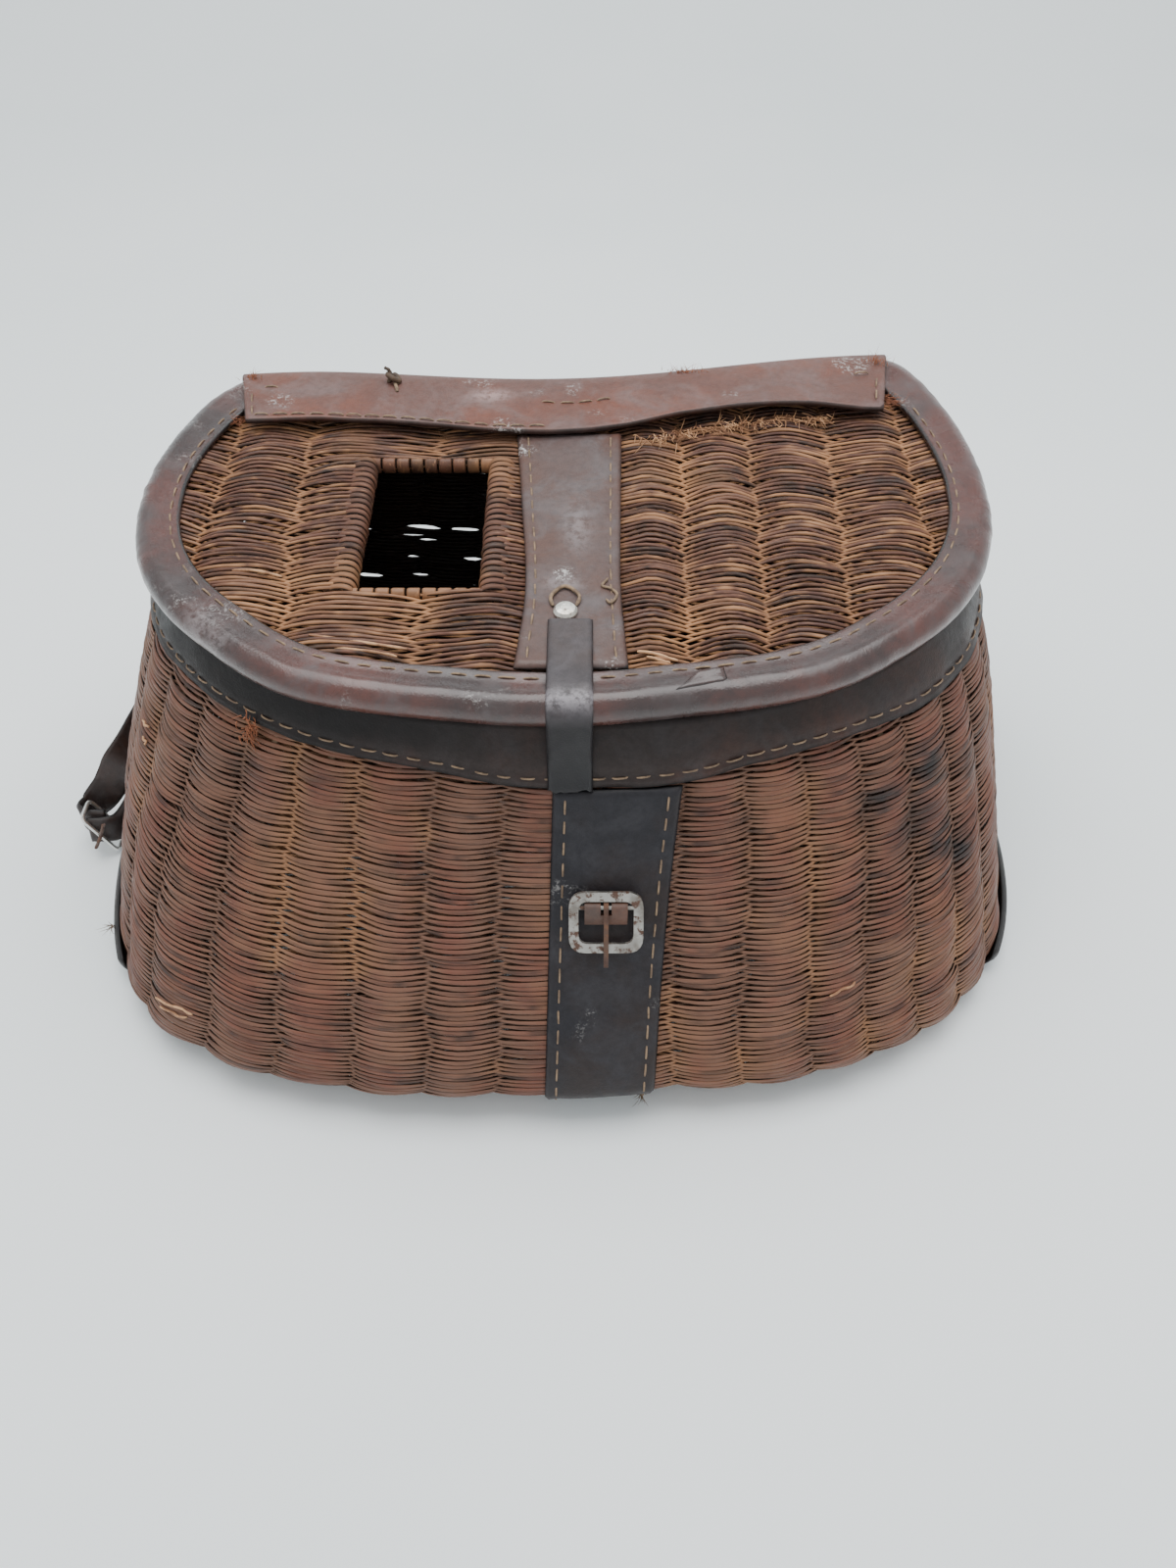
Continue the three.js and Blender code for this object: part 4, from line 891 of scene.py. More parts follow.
def rim_low(share):
    """Height share of the rim band's lower edge."""
    side, turn = place(share)
    return read_table(RIM_EDGE, "turn", "up", side * turn)


RIM_PLACES, BINDING_PLACES = 740, 888


def rim_band():
    share = np.arange(RIM_PLACES) / RIM_PLACES
    inner = 1 - RIM_INNER_DROP / RIM_HEIGHT
    inside = -5 - GAP
    # rows of part ("face", "top", "in" or "under"), place on it and edge wear
    rows = [("face", k / 10, 1.0 if k == 0 else 0.0) for k in range(11)]
    rows += [("top", angle, 0.0) for angle in (20, 45, 70, 90, 110, 135, 160)]
    rows += [("in", k / 5, 1.0 if k == 5 else 0.0) for k in range(6)]
    rows += [("under", 0, 1.0), ("under", 1, 0.0), ("under", 2, 0.0), ("under", 3, 0.0), ("under", 4, 1.0)]
    low = rim_low(share) + 0.5 * noise(share * 34, 2.5, 42) / RIM_HEIGHT
    points = []
    for part, at, _ in rows:
        if part == "face":
            wave = 0.55 * noise(share * 60, 0.5, 41) * (1 - at) ** 2 + 0.25 * noise(
                share * 150, at * 3, 43
            ) * (1 - at)
            lip = 0.55 * math.exp(-((at - 0.03) / 0.06) ** 2) - 0.45 * math.exp(-((at - 0.17) / 0.07) ** 2)
            points.append(wall(share, low + (1 - low) * at, GAP + LEATHER + np.maximum(wave + lip, -0.9)))
        elif part == "top":
            a = math.radians(at)
            reach = (GAP + LEATHER - inside + LEATHER) / 2
            points.append(
                wall(share, 1.0, GAP + LEATHER - reach + reach * math.cos(a), (GAP + LEATHER) * math.sin(a))
            )
        elif part == "in":
            points.append(wall(share, 1 + (inner - 1) * at, inside - LEATHER))
        else:
            up = (inner, 1.0, 1.0, low + (1 - low) * 0.4, low)[at]
            out, rise = ((inside, 0), (inside, GAP), (GAP, GAP), (GAP, 0), (GAP, 0))[at]
            points.append(wall(share, up, out, rise))
    faces = grid_faces(len(rows), len(share), close_rows=True, close_columns=True)
    edge = np.repeat([row[2] for row in rows], len(share))
    height = np.repeat([row[1] if row[0] == "face" else 1.0 for row in rows], len(share))
    left = np.tile(smoothstep(0.6, 0.72, share) * smoothstep(0.99, 0.9, share), len(rows))
    shade = np.clip(0.35 * smoothstep(0.2, 0.7, height) + 0.65 * left, 0, 0.85)
    piece = make_mesh("rim_band_leather", np.stack(points), faces, {"edge": edge, "shade": shade})
    outward_faces(piece)
    dress(piece, RIM_LEATHER, "basket", "body_rim_band")


rim_band()


# Whitish rubs of the binding: x and y in the lid's plane, half size and strength.
BINDING_RUBS = [
    (-124, -72, 7, 0.8), (-117, -80, 6, 0.7), (148, -55, 6, 0.8), (146, -75, 8, 0.8), (144, -66, 7, 0.6),
]


def lid_binding():
    share = np.arange(BINDING_PLACES) / BINDING_PLACES
    section, edge = [], []
    for angle in range(-90, 91, 12):
        section.append((ROLL * (1 - math.cos(math.radians(angle))), ROLL * math.sin(math.radians(angle))))
        edge.append(0.0)
    top = BAND_UNDER + LEATHER
    for k in range(1, 7):
        t = k / 7
        section.append(
            (ROLL + (BINDING - ROLL) * t, ROLL + (top - ROLL) * t - 0.7 * math.sin(PI * min(1, t * 1.2)))
        )
        edge.append(0.35 if k == 6 else 0.0)
    section += [
        (BINDING - 0.9, top + 0.1), (BINDING, top - 0.6), (BINDING, BAND_UNDER + 0.1),
        (ROLL + 1.5, BAND_UNDER)
    ]
    edge += [1.0, 1.0, 1.0, 1.0]
    section += [(ROLL + 1.5, -BAND_UNDER), (BINDING, -BAND_UNDER), (BINDING, -top), (BINDING - 5, -top)]
    edge += [1.0, 1.0, 1.0, 0.0]

    def point(a, b, share):
        swell = 0.35 * noise(share * 37, 0.5, 51) + 0.22 * noise(share * 160, b / 6, 52)
        creased = smoothstep(0.55, 0.95, noise(share * 16, 0.5, 54) * 0.5 + 0.5 + 0.2)
        crease = 0.25 * noise(share * 420, b / 14, 53) * creased
        away = -(swell + crease) * smoothstep(-ROLL * 1.2, 0, b) * smoothstep(BINDING - 2, ROLL, a)
        x, y = lid_edge(share, a + away)
        return lid_at(x, y, b + 0.2 * noise(share * 70, a / 4, 55) * (b > 2))

    piece = closed_leather(
        "lid_binding_leather", section, share, point, edge, BINDING_LEATHER, "lid", "lid_binding"
    )
    outward_faces(piece)
    places = np.array([v.co for v in piece.data.vertices]) / MM
    worn = np.zeros(len(places))
    for x, y, size, strength in BINDING_RUBS:
        distance = np.hypot(places[:, 0] - x, places[:, 1] - WIDEST_Y - y)
        worn = np.maximum(worn, strength * np.exp(-(distance / size) ** 2) * (places[:, 2] > LID_HEIGHT - 8))
    piece.data.attributes.new("wear", "FLOAT", "POINT").data.foreach_set("value", worn.astype(np.float32))


lid_binding()


def sheet_faces(rows, columns):
    """Faces of a sheet: its underside, its top and the strip round its edge."""
    count = rows * columns
    border = np.concatenate([
        np.arange(columns), np.arange(1, rows) * columns + columns - 1,
        (rows - 1) * columns + np.arange(columns - 2, -1, -1), np.arange(rows - 2, 0, -1) * columns,
    ])
    after = np.roll(border, -1)
    edge = np.stack([border, after, after + count, border + count], -1)
    return np.concatenate([grid_faces(rows, columns)[:, ::-1], grid_faces(rows, columns, first=count), edge])


def slab(name, face, lift, thick, edge_round, material, body, *replaced, extra=None):
    """Sheet of leather: face is a grid of points on its underside, lift its unit normals."""
    rows, columns = face.shape[:2]
    i = np.minimum(np.arange(rows), rows - 1 - np.arange(rows))[:, None]
    j = np.minimum(np.arange(columns), columns - 1 - np.arange(columns))[None, :]
    cell_i = np.linalg.norm(np.diff(face, axis=0), axis=-1).mean()
    cell_j = np.linalg.norm(np.diff(face, axis=1), axis=-1).mean()
    distance = np.minimum(i * cell_i, j * cell_j)
    t = np.clip(distance / edge_round, 0, 1)
    depth = thick * (0.35 + 0.65 * np.sqrt(1 - (1 - t) ** 2))
    top = face + lift * depth[..., None]
    edge = 1 - np.clip(distance / 1.6, 0, 1)
    points = np.concatenate([face.reshape(-1, 3), top.reshape(-1, 3)])
    values = {"edge": np.concatenate([edge.ravel(), edge.ravel()])}
    for key, value in (extra or {}).items():
        value = np.broadcast_to(value, (rows, columns)).ravel()
        values[key] = np.concatenate([value, value])
    piece = make_mesh(name, points, sheet_faces(rows, columns), values)
    outward_faces(piece)
    return dress(piece, material, body, *replaced)


FRONT_BAND = {"up": [0, 0.5, 1], "centre": [12.4, 15.4, 20], "width": [41, 41.5, 45.4]}


def front_band_at(share, up, out):
    """Point on the front band's face: share across it, height share."""
    centre = read_table(FRONT_BAND, "up", "centre", up)
    width = read_table(FRONT_BAND, "up", "width", up)
    x = centre + (share - 0.5) * width
    return wall_turn(np.where(x < 0, -1.0, 1.0), front_turn(x, up, out), up, out)


def front_band():
    share, up = np.linspace(0, 1, 29)[None, :], np.linspace(0.033, 0.859, 104)[:, None]
    low, high = front_band_at(share, up, PATCH_IN), front_band_at(share, up, PATCH_IN + 1)
    lift = unit(high - low)
    dent = 0.25 * noise(share * 5, up * 16, 61) - 0.25 * np.exp(-((np.abs(share - 0.5) - 0.37) / 0.05) ** 2)
    face = low + lift * np.maximum(dent, -0.2)[..., None]
    slab("front_band_leather", face, lift, LEATHER, 0.9, FRONT_LEATHER, "basket", "front_band")


front_band()

LID_BAND = {"share": [0, 0.3, 0.65, 1], "centre": [3, 3.4, 2.4, 1.2], "width": [38, 33.5, 37, 41.5]}


def lid_band_at(across, along, z):
    centre = read_table(LID_BAND, "share", "centre", along)
    width = read_table(LID_BAND, "share", "width", along)
    return lid_at(centre + (across - 0.5) * width, BAND_FRONT + along * (BAND_BACK - BAND_FRONT), z)


def lid_band():
    across, along = np.linspace(0, 1, 27)[None, :], np.linspace(0, 1, 88)[:, None]
    seam = np.exp(-((np.abs(across - 0.5) - 0.39) / 0.035) ** 2)
    lump = 0.25 * noise(across * 4, along * 15, 71) - 0.3 * seam
    face = lid_band_at(across, along, BAND_UNDER + lump)
    lift = unit(lid_band_at(across, along, 1.0) - lid_band_at(across, along, 0.0))
    y = BAND_FRONT + along * (BAND_BACK - BAND_FRONT) + 0 * across
    x = (across - 0.5) * 37 + 0 * along
    worn = np.exp(-((x + 4) / 7) ** 2 - ((y + 52) / 4) ** 2) + 0.7 * np.exp(
        -((x - 2) / 5) ** 2 - ((y + 20) / 14) ** 2
    )
    slab(
        "lid_band_leather", face, lift, LEATHER, 0.8, BAND_LEATHER, "lid", "lid_band",
        extra={"wear": 0.6 * worn}
    )


lid_band()


def path_frame(rows, steps):
    """Smooth line through (y, z) rows."""
    rows = np.array(rows, float)
    length = np.concatenate([[0], np.cumsum(np.hypot(np.diff(rows[:, 0]), np.diff(rows[:, 1])))])
    at = np.linspace(0, length[-1], steps)
    table = {"at": length, "y": rows[:, 0], "z": rows[:, 1]}
    return read_table(table, "at", "y", at), read_table(table, "at", "z", at), at


LATCH_X, LATCH_WIDTH, LATCH_START, LATCH_END, LATCH_THICK = 2.6, 15.3, -72.0, 30.0, 1.8


def latch_path():
    over = ROLL + GAP
    roll_front = -LID_FRONT + ROLL
    rows = [
        (LATCH_START, BAND_TOP + GAP), (LATCH_START - 8, BAND_TOP + GAP),
        (BAND_FRONT - 2, BAND_TOP + GAP + 0.2), (roll_front + 2, over + 0.3)
    ]
    for lean in (75, 50, 25, 0):
        rows.append((roll_front - over * math.cos(math.radians(lean)), over * math.sin(math.radians(lean))))
    for share in (0.35, 0.6, 0.8, 1):
        z = -LATCH_END * share
        up = 1 + (z + ROLL + 2 * GAP + LEATHER) / RIM_HEIGHT
        clear = LID_FRONT * float(read_table(WALL, "up", "deep", min(up, 1))) + 2 * GAP + LEATHER
        rows.append((min(roll_front - over, (z * math.sin(SLOPE) - clear) / math.cos(SLOPE)), z))
    return path_frame(rows, 110)


def latch_strap():
    y, z, at = latch_path()
    across = np.linspace(-0.5, 0.5, 15)[None, :]
    torn = smoothstep(at[-1] - 4, at[-1], at)[:, None] * 1.3 * noise(across * 9, 0.5, 81)
    dy, dz = np.gradient(y), np.gradient(z)
    size = np.hypot(dy, dz)
    ny, nz = (dz / size), (-dy / size)
    flip = np.where(nz[:1] < 0, -1.0, 1.0)
    ny, nz = ny * flip, nz * flip
    moved_y = y[:, None] + torn * dy[:, None] / size[:, None]
    moved_z = z[:, None] + torn * dz[:, None] / size[:, None]
    face = lid_at(LATCH_X + across * LATCH_WIDTH, moved_y, moved_z)
    still = 0 * (ny[:, None] + across)
    lift = lid_at(0, ny[:, None] + still, nz[:, None]) - lid_at(0, still, 0)
    bend = int(np.argmin(np.abs(z - 0.75 * ROLL) + 9 * (y > -LID_FRONT + ROLL)))
    down = smoothstep(bend, bend + 12, np.arange(len(z)))[:, None]
    worn = np.exp(-((np.arange(len(z)) - bend + 3.0) / 4.0) ** 2)[:, None]
    extra = {"shade": 0.93 * down, "wear": worn}
    slab(
        "latch_strap_leather", face, unit(lift), LATCH_THICK, 0.7, LATCH_LEATHER, "lid", "latch_strap",
        extra=extra
    )


latch_strap()


# Hinge leather

HINGE_HALF, HINGE_STEPS, HINGE_WALL_STEPS = 134.0, 16, 11
HINGE_FRONT = {
    "x": [-134, -97, -57, -22, 9, 48, 87, 125, 134],
    "y": [43, 44.6, 41, 36, 37, 46.6, 52.5, 51.5, 52],
}


def hinge_face():
    """Underside of the hinge leather: over the lid, round its back edge and down the wall."""
    x = np.linspace(-HINGE_HALF, HINGE_HALF, 150)
    side = np.where(x < 0, -1.0, 1.0)
    turn = 3 - np.abs(x / LID_HALF) / BACK_CHORD
    swell = read_table(LID_SWELL, "turn", "out", side * turn)
    _, edge_y = outline(side, turn, LID_HALF, LID_FRONT, LID_BACK, LID_BOX, swell)
    front_y = read_table(HINGE_FRONT, "x", "y", x)
    lines = []
    for k in range(HINGE_STEPS):
        t = k / HINGE_STEPS
        y = front_y + (edge_y - ROLL - front_y) * t
        lift = 0.35 + 2.2 * smoothstep(20, 70, x) * smoothstep(134, 100, x) * (1 - t) ** 2
        z = LID_TOP + lift + 0.3 * noise(x / 15, t * 3, 91)
        lines.append(lid_at(x * (1 - HINGE_TAPER * (1 - t)), y, z))
    for angle in range(90, -50, -12):
        a = math.radians(angle)
        lines.append(lid_at(x, edge_y - ROLL + LID_TOP * math.cos(a), LID_TOP * math.sin(a)))
    for k in range(1, HINGE_WALL_STEPS + 1):
        up = 1 - HINGE_DOWN / RIM_HEIGHT * k / HINGE_WALL_STEPS
        half = LID_HALF * float(read_table(WALL, "up", "wide", up)) + HINGE_OUT
        lines.append(wall_turn(side, 3 - np.abs(x / half) / BACK_CHORD, up, HINGE_OUT))
    return np.stack(lines, 0)


def hinge_leather():
    face = hinge_face()
    lift = unit(np.cross(np.gradient(face, axis=1), np.gradient(face, axis=0)))
    lift = lift * np.where((lift[0, :, 2] < 0)[None, :, None], -1.0, 1.0)
    rows, columns = face.shape[:2]
    points = np.concatenate([face.reshape(-1, 3), (face + lift * LEATHER).reshape(-1, 3)])
    edge = np.zeros((rows, columns))
    edge[0], edge[-1], edge[:, 0], edge[:, -1] = 1, 1, 1, 1
    worn = np.exp(-((face[..., 0] + 31) / 8) ** 2 - ((face[..., 1] - WIDEST_Y - 60) / 4) ** 2)
    worn = worn * (face[..., 2] > 160)
    values = {"edge": np.concatenate([edge.ravel()] * 2), "wear": np.concatenate([0.7 * worn.ravel()] * 2)}
    piece = make_mesh("hinge_leather", points, sheet_faces(rows, columns), values)
    outward_faces(piece)
    piece.data.materials.append(HINGE_LEATHER)
    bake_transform(piece)
    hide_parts("hinge_strip_body", "hinge_strip_lid")


hinge_leather()


# Stitches


def stitches(name, line, lift, body, pitch=7.8, length=6.5, radius=0.4, seed=0):
    """Thread stitches along a line of points, sunk in at both ends."""
    line, lift = np.asarray(line, float), unit(np.asarray(lift, float))
    at = np.concatenate([[0], np.cumsum(np.linalg.norm(np.diff(line, axis=0), axis=1))])
    count = max(1, int(at[-1] / pitch))
    number = np.arange(count)[:, None]
    start = (number + 0.5) * at[-1] / count + 0.5 * noise(number * 1.3, 0.5, seed)
    t = np.linspace(-0.5, 0.5, 7)[None, :]
    where = start + t * length * (0.92 + 0.12 * noise(number * 2.1, 1.5, seed))
    centre = np.stack([np.interp(where, at, line[:, k]) for k in range(3)], -1)
    normal = np.stack([np.interp(where, at, lift[:, k]) for k in range(3)], -1)
    normal = unit(normal)
    arch = (1 - (2 * t) ** 4) * 0.75 - 0.4
    along = unit(np.gradient(centre, axis=1))
    beside = unit(np.cross(along, normal))
    slant = 0.5 * noise(number * 3.7, 2.5, seed) * t
    centre = centre + normal * arch[..., None] + beside * slant[..., None]
    size = radius * (1 - 0.35 * (2 * t) ** 6)
    points, faces = strands(centre, normal, beside, radius * 0.8, size, round_section(6))
    return dress(make_mesh(name, points, faces), TAN_THREAD, body)


def smooth_line(points, steps):
    """Centripetal curve through points."""
    points = np.asarray(points, float)
    before, after = 2 * points[0] - points[1], 2 * points[-1] - points[-2]
    p = np.concatenate([[before], points, [after]])
    gaps = np.maximum(np.linalg.norm(np.diff(p[:, :3], axis=0), axis=1) ** 0.5, 1e-4)
    knots = np.concatenate([[0], np.cumsum(gaps)])
    at = np.linspace(knots[1], knots[-2], steps)
    k = np.clip(np.searchsorted(knots, at, side="right") - 1, 1, len(points) - 1)
    t0, t1, t2, t3 = (knots[k + d][:, None] for d in (-1, 0, 1, 2))
    p0, p1, p2, p3 = (p[k + d] for d in (-1, 0, 1, 2))
    t = at[:, None]
    a1 = (t1 - t) / (t1 - t0) * p0 + (t - t0) / (t1 - t0) * p1
    a2 = (t2 - t) / (t2 - t1) * p1 + (t - t1) / (t2 - t1) * p2
    a3 = (t3 - t) / (t3 - t2) * p2 + (t - t2) / (t3 - t2) * p3
    b1 = (t2 - t) / (t2 - t0) * a1 + (t - t0) / (t2 - t0) * a2
    b2 = (t3 - t) / (t3 - t1) * a2 + (t - t1) / (t3 - t1) * a3
    return (t2 - t) / (t2 - t1) * b1 + (t - t1) / (t2 - t1) * b2


def tube(name, rows, radius, material, body, steps=40, lumps=0.0):
    """Round cord along a smooth line of points, tapered at its ends."""
    centre = smooth_line(rows, steps)[None]
    along = unit(np.gradient(centre, axis=1))
    side = unit(np.cross(along, np.broadcast_to([0.3, 0.2, 0.93], along.shape)))
    t = np.linspace(0, 1, steps)
    taper = 0.5 + 0.5 * np.minimum(1, np.minimum(t, 1 - t) * 16)
    size = radius * (1 + lumps * noise(t * 9, 0.5, 77)) * taper
    points, faces = strands(centre, side, np.cross(along, side), size[None], size[None], round_section(8))
    return dress(make_mesh(name, points, faces), material, body)


def tuft(name, at, toward, spread, count, length, material, body, radius=0.14, seed=0):
    """Loose fibres that stand out from a place."""
    random = np.random.default_rng(seed)
    start = np.asarray(at, float) + random.normal(0, 1, (count, 3)) * np.asarray(spread, float)
    aim = unit(np.asarray(toward, float) + random.normal(0, 0.5, (count, 3)))
    bend = random.normal(0, 0.35, (count, 3))
    reach = length * random.uniform(0.4, 1.0, (count, 1, 1))
    t = np.linspace(0, 1, 6)[None, :, None]
    centre = start[:, None, :] + aim[:, None, :] * t * reach + bend[:, None, :] * t * t * reach
    along = unit(np.gradient(centre, axis=1))
    side = unit(np.cross(along, np.broadcast_to([0.3, 0.2, 0.93], along.shape)))
    size = radius * (1.1 - t[..., 0]) + 0 * centre[..., 0]
    section = [(1, 0), (-0.5, 0.87), (-0.5, -0.87)]
    points, faces = strands(centre, side, np.cross(along, side), size, size, section)
    return dress(make_mesh(name, points, faces), material, body)


def lid_points(rows, z):
    """Points at one height above the lid's plane."""
    rows = np.array(rows, float)
    return lid_at(rows[:, 0], rows[:, 1], z)


def binding_stitches():
    share = np.linspace(-0.435, 0.435, 1400)
    x, y = lid_edge(share, BINDING - 3.4)
    keep = ~((np.abs(x - LATCH_X) < LATCH_WIDTH / 2 + 0.5) & (y < 0))
    for name, part in (("binding_stitches_left", x < LATCH_X), ("binding_stitches_right", x > LATCH_X)):
        chosen = keep & part & (y < 58)
        line = lid_at(x[chosen], y[chosen], BAND_TOP - 0.25)
        stitches(name, line, np.broadcast_to(LID_UP, line.shape), "lid", seed=101)


def rim_stitches():
    share = np.linspace(-0.5, 0.5, 1600)
    up = rim_low(share) + 2.9 / RIM_HEIGHT
    line = wall(share, up, GAP + LEATHER - 0.3)
    lift = wall(share, up, GAP + LEATHER + 1) - line
    stitches("rim_stitches", line, lift, "basket", seed=102)


def band_stitches():
    along = np.linspace(0.02, 0.98, 200)
    for name, across in (("lid_band_stitches_left", 0.105), ("lid_band_stitches_right", 0.895)):
        line = lid_band_at(across, along, BAND_TOP - 0.3)
        stitches(name, line, np.broadcast_to([0, 0, 1.0], line.shape), "lid", seed=103)
    up = np.linspace(0.045, 0.85, 200)
    for name, across in (("front_band_stitches_left", 0.1), ("front_band_stitches_right", 0.9)):
        line = front_band_at(across, up, PATCH_IN + LEATHER - 0.25)
        lift = front_band_at(across, up, PATCH_IN + LEATHER + 1) - line
        stitches(name, line, lift, "basket", seed=104)


binding_stitches()
rim_stitches()
band_stitches()

LEATHER_TOP = LID_TOP + LEATHER
HINGE_STITCHES = {
    "hinge_stitches_front": (
        [(-125, 46.4), (-96, 46.6), (-68, 44.4), (-45, 41.2), (-26, 38.6), (-8, 38.4)], 0.5, 7.2
    ),
    "hinge_stitches_middle": ([(-11, 55.6), (3, 54.9), (18.5, 58.4)], 0.2, 6.4),
    "hinge_stitches_left_across": ([(-127, 66.2), (-114, 66.6)], 0.2, 7.0),
    "hinge_stitches_left_along": ([(-128, 63), (-125, 45.5)], 0.2, 7.0),
    "hinge_stitches_right_across": ([(115, 74.8), (128, 76.2)], 1.0, 7.0),
    "hinge_stitches_right_along": ([(127.2, 73), (124.6, 56)], 1.0, 7.0),
}
for name, (rows, lift, pitch) in HINGE_STITCHES.items():
    line = smooth_line(lid_points(rows, LEATHER_TOP + lift + 0.3), 60)
    stitches(name, line, np.broadcast_to([0, 0, 1.0], line.shape), "lid", pitch=pitch, seed=105)

STUD_LOOP = [(-3.4, -65), (-4.2, -60), (0.6, -54.6), (5.6, -59.6), (4.6, -65)]
LOOSE_LOOP = [(15.6, -50), (13.6, -54), (16.5, -55.5), (18.6, -58.6), (16.4, -63), (14.8, -61)]
KNOT = [
    (-73.4, 69.4, 9.6), (-70.5, 71.6, 11.6), (-68.8, 69.6, 10.2), (-71, 68, 12.4), (-73, 70.4, 12.6),
    (-70.6, 72, 9.8), (-69.2, 67.6, 9.4),
]
KNOT_END = [(-71.5, 70, 12), (-72.6, 70.6, 14.5), (-74.4, 71, 15.4)]
KNOT_THONG = [(-70.5, 68.5, 10), (-69.4, 65, 9.9), (-68.8, 62.4, 9.6)]
# Cords: name, line, radius, material, steps and lumps.
CORDS = [
    ("stud_thread_loop", lid_points(STUD_LOOP, BAND_TOP + 0.9), 0.75, TAN_THREAD, 40, 0.3),
    ("loose_thread_loop", lid_points(LOOSE_LOOP, BAND_TOP + 0.6), 0.55, TAN_THREAD, 40, 0.2),
    ("hinge_knot", lid_at(*np.array(KNOT).T), 1.25, KNOT_LEATHER, 70, 0.3),
    ("hinge_knot_end", lid_at(*np.array(KNOT_END).T), 0.8, KNOT_LEATHER, 40, 0.3),
    ("hinge_knot_thong", lid_at(*np.array(KNOT_THONG).T), 0.8, TAN_THREAD, 40, 0.3),
]
for name, line, radius, material, steps, lumps in CORDS:
    tube(name, line, radius, material, "lid", steps=steps, lumps=lumps)
# Loose fibres on the hinge leather: name, place, aim, spread, count, length and seed.
HINGE_TUFTS = [
    ("hinge_tuft_left", (-129.5, 73, 9.5), (0, 0.6, 0.6), (1.8, 1.0, 0.3), 34, 4.5, 1),
    ("hinge_tuft_middle", (49, 78, 9.0), (0, 0.7, 0.7), (4.0, 0.6, 0.3), 60, 3.6, 2),
    ("hinge_tuft_right", (129, 84, 9.5), (0.2, 0.6, 0.8), (2.0, 1.2, 0.4), 40, 5.0, 3),
    ("hinge_corner_right", (130, 58, 8.6), (0.8, -0.5, 0.2), (1.5, 2.5, 0.4), 46, 5.0, 4),
    ("hinge_corner_left", (-129, 45, 8.2), (-0.5, -0.6, 0.2), (2.0, 1.5, 0.4), 30, 4.0, 5),
]
for name, at, aim, spread, count, length, seed in HINGE_TUFTS:
    tuft(name, lid_at(*at), aim, spread, count, length, FIBRE, "lid", seed=seed)
CHOPPED = ((36, 38), (46, 41), (56, 44), (66, 47), (76, 49), (87, 51), (99, 51))
for k, (x, y) in enumerate(CHOPPED):
    name, at, aim, spread = f"chopped_fibres_{k + 1}", lid_at(x, y, 4.2), (0.35, -0.9, 0.25), (3.6, 1.2, 0.5)
    tuft(name, at, aim, spread, 40, 5.5, SPLIT_ENDS, "lid", radius=0.3, seed=20 + k)
TORN_AT = wall(-4.46 / STAKES, 0.885, 2.6)
FRAYED_AT = front_band_at(0.9, 0.06, 4.2)
STRIP_END_AT = wall(-7.0 / STAKES, 0.075, 4.5)
# Loose fibres on the basket: name, place, aim, spread, count, length, material, radius and seed.
BASKET_TUFTS = [
    ("torn_leather", TORN_AT, (0.2, -0.6, -0.5), (1.6, 0.6, 3.0), 60, 4.5, FIBRE, 0.3, 6),
    ("frayed_thread", FRAYED_AT, (0.2, -0.9, 0.0), (0.4, 0.3, 0.5), 16, 6.0, TAN_THREAD, 0.25, 7),
    ("strip_thread", STRIP_END_AT, (-0.8, -0.6, 0.1), (0.4, 0.4, 0.6), 12, 6.0, TAN_THREAD, 0.22, 8),
]
for name, at, aim, spread, count, length, material, radius, seed in BASKET_TUFTS:
    tuft(name, at, aim, spread, count, length, material, "basket", radius=radius, seed=seed)

FLAP_CORNERS = np.array([(37, -105.0), (54, -101.0), (44.5, -97.0), (53.0, -95.6)])


def binding_flap():
    """Torn flap of the binding's inner edge."""
    u, v = np.linspace(0, 1, 12)[:, None], np.linspace(0, 1, 10)[None, :]
    near = (1 - u)[..., None] * FLAP_CORNERS[0] + u[..., None] * FLAP_CORNERS[1]
    far = (1 - u)[..., None] * FLAP_CORNERS[2] + u[..., None] * FLAP_CORNERS[3]
    flat_xy = (1 - v)[..., None] * near + v[..., None] * far
    z = BAND_TOP + 0.35 + 1.1 * v**2 * (0.6 + 0.4 * np.sin(3 * u)) + 0.15 * noise(u * 4, v * 3, 88)
    face = lid_at(flat_xy[..., 0], flat_xy[..., 1], z)
    lift = np.broadcast_to(unit(np.array([0.0, -0.07, 1.0])), face.shape)
    slab("binding_flap", face, lift, 0.9, 0.6, BINDING_LEATHER, "lid")


binding_flap()


# Splits of the wall: stake and height share of both ends.
WALL_SPLITS = [
    (-5.2, 0.195, -4.5, 0.225), (-5.1, 0.18, -4.62, 0.20), (-6.95, 0.68, -6.6, 0.70),
    (-6.8, 0.655, -6.55, 0.665),
    (3.1, 0.33, 3.5, 0.345),
]
# Splits of the lid: x and y of both ends, and height.
LID_SPLITS = [
    (-118, -42.5, -100, -45.5, 3.6), (25, -85, 38.5, -88.6, 3.8), (28, -87.5, 36, -89.8, 3.6),
    (-86, -76, -52, -83.5, 3.5), (-78, -81.5, -55, -87.2, 3.4),
]


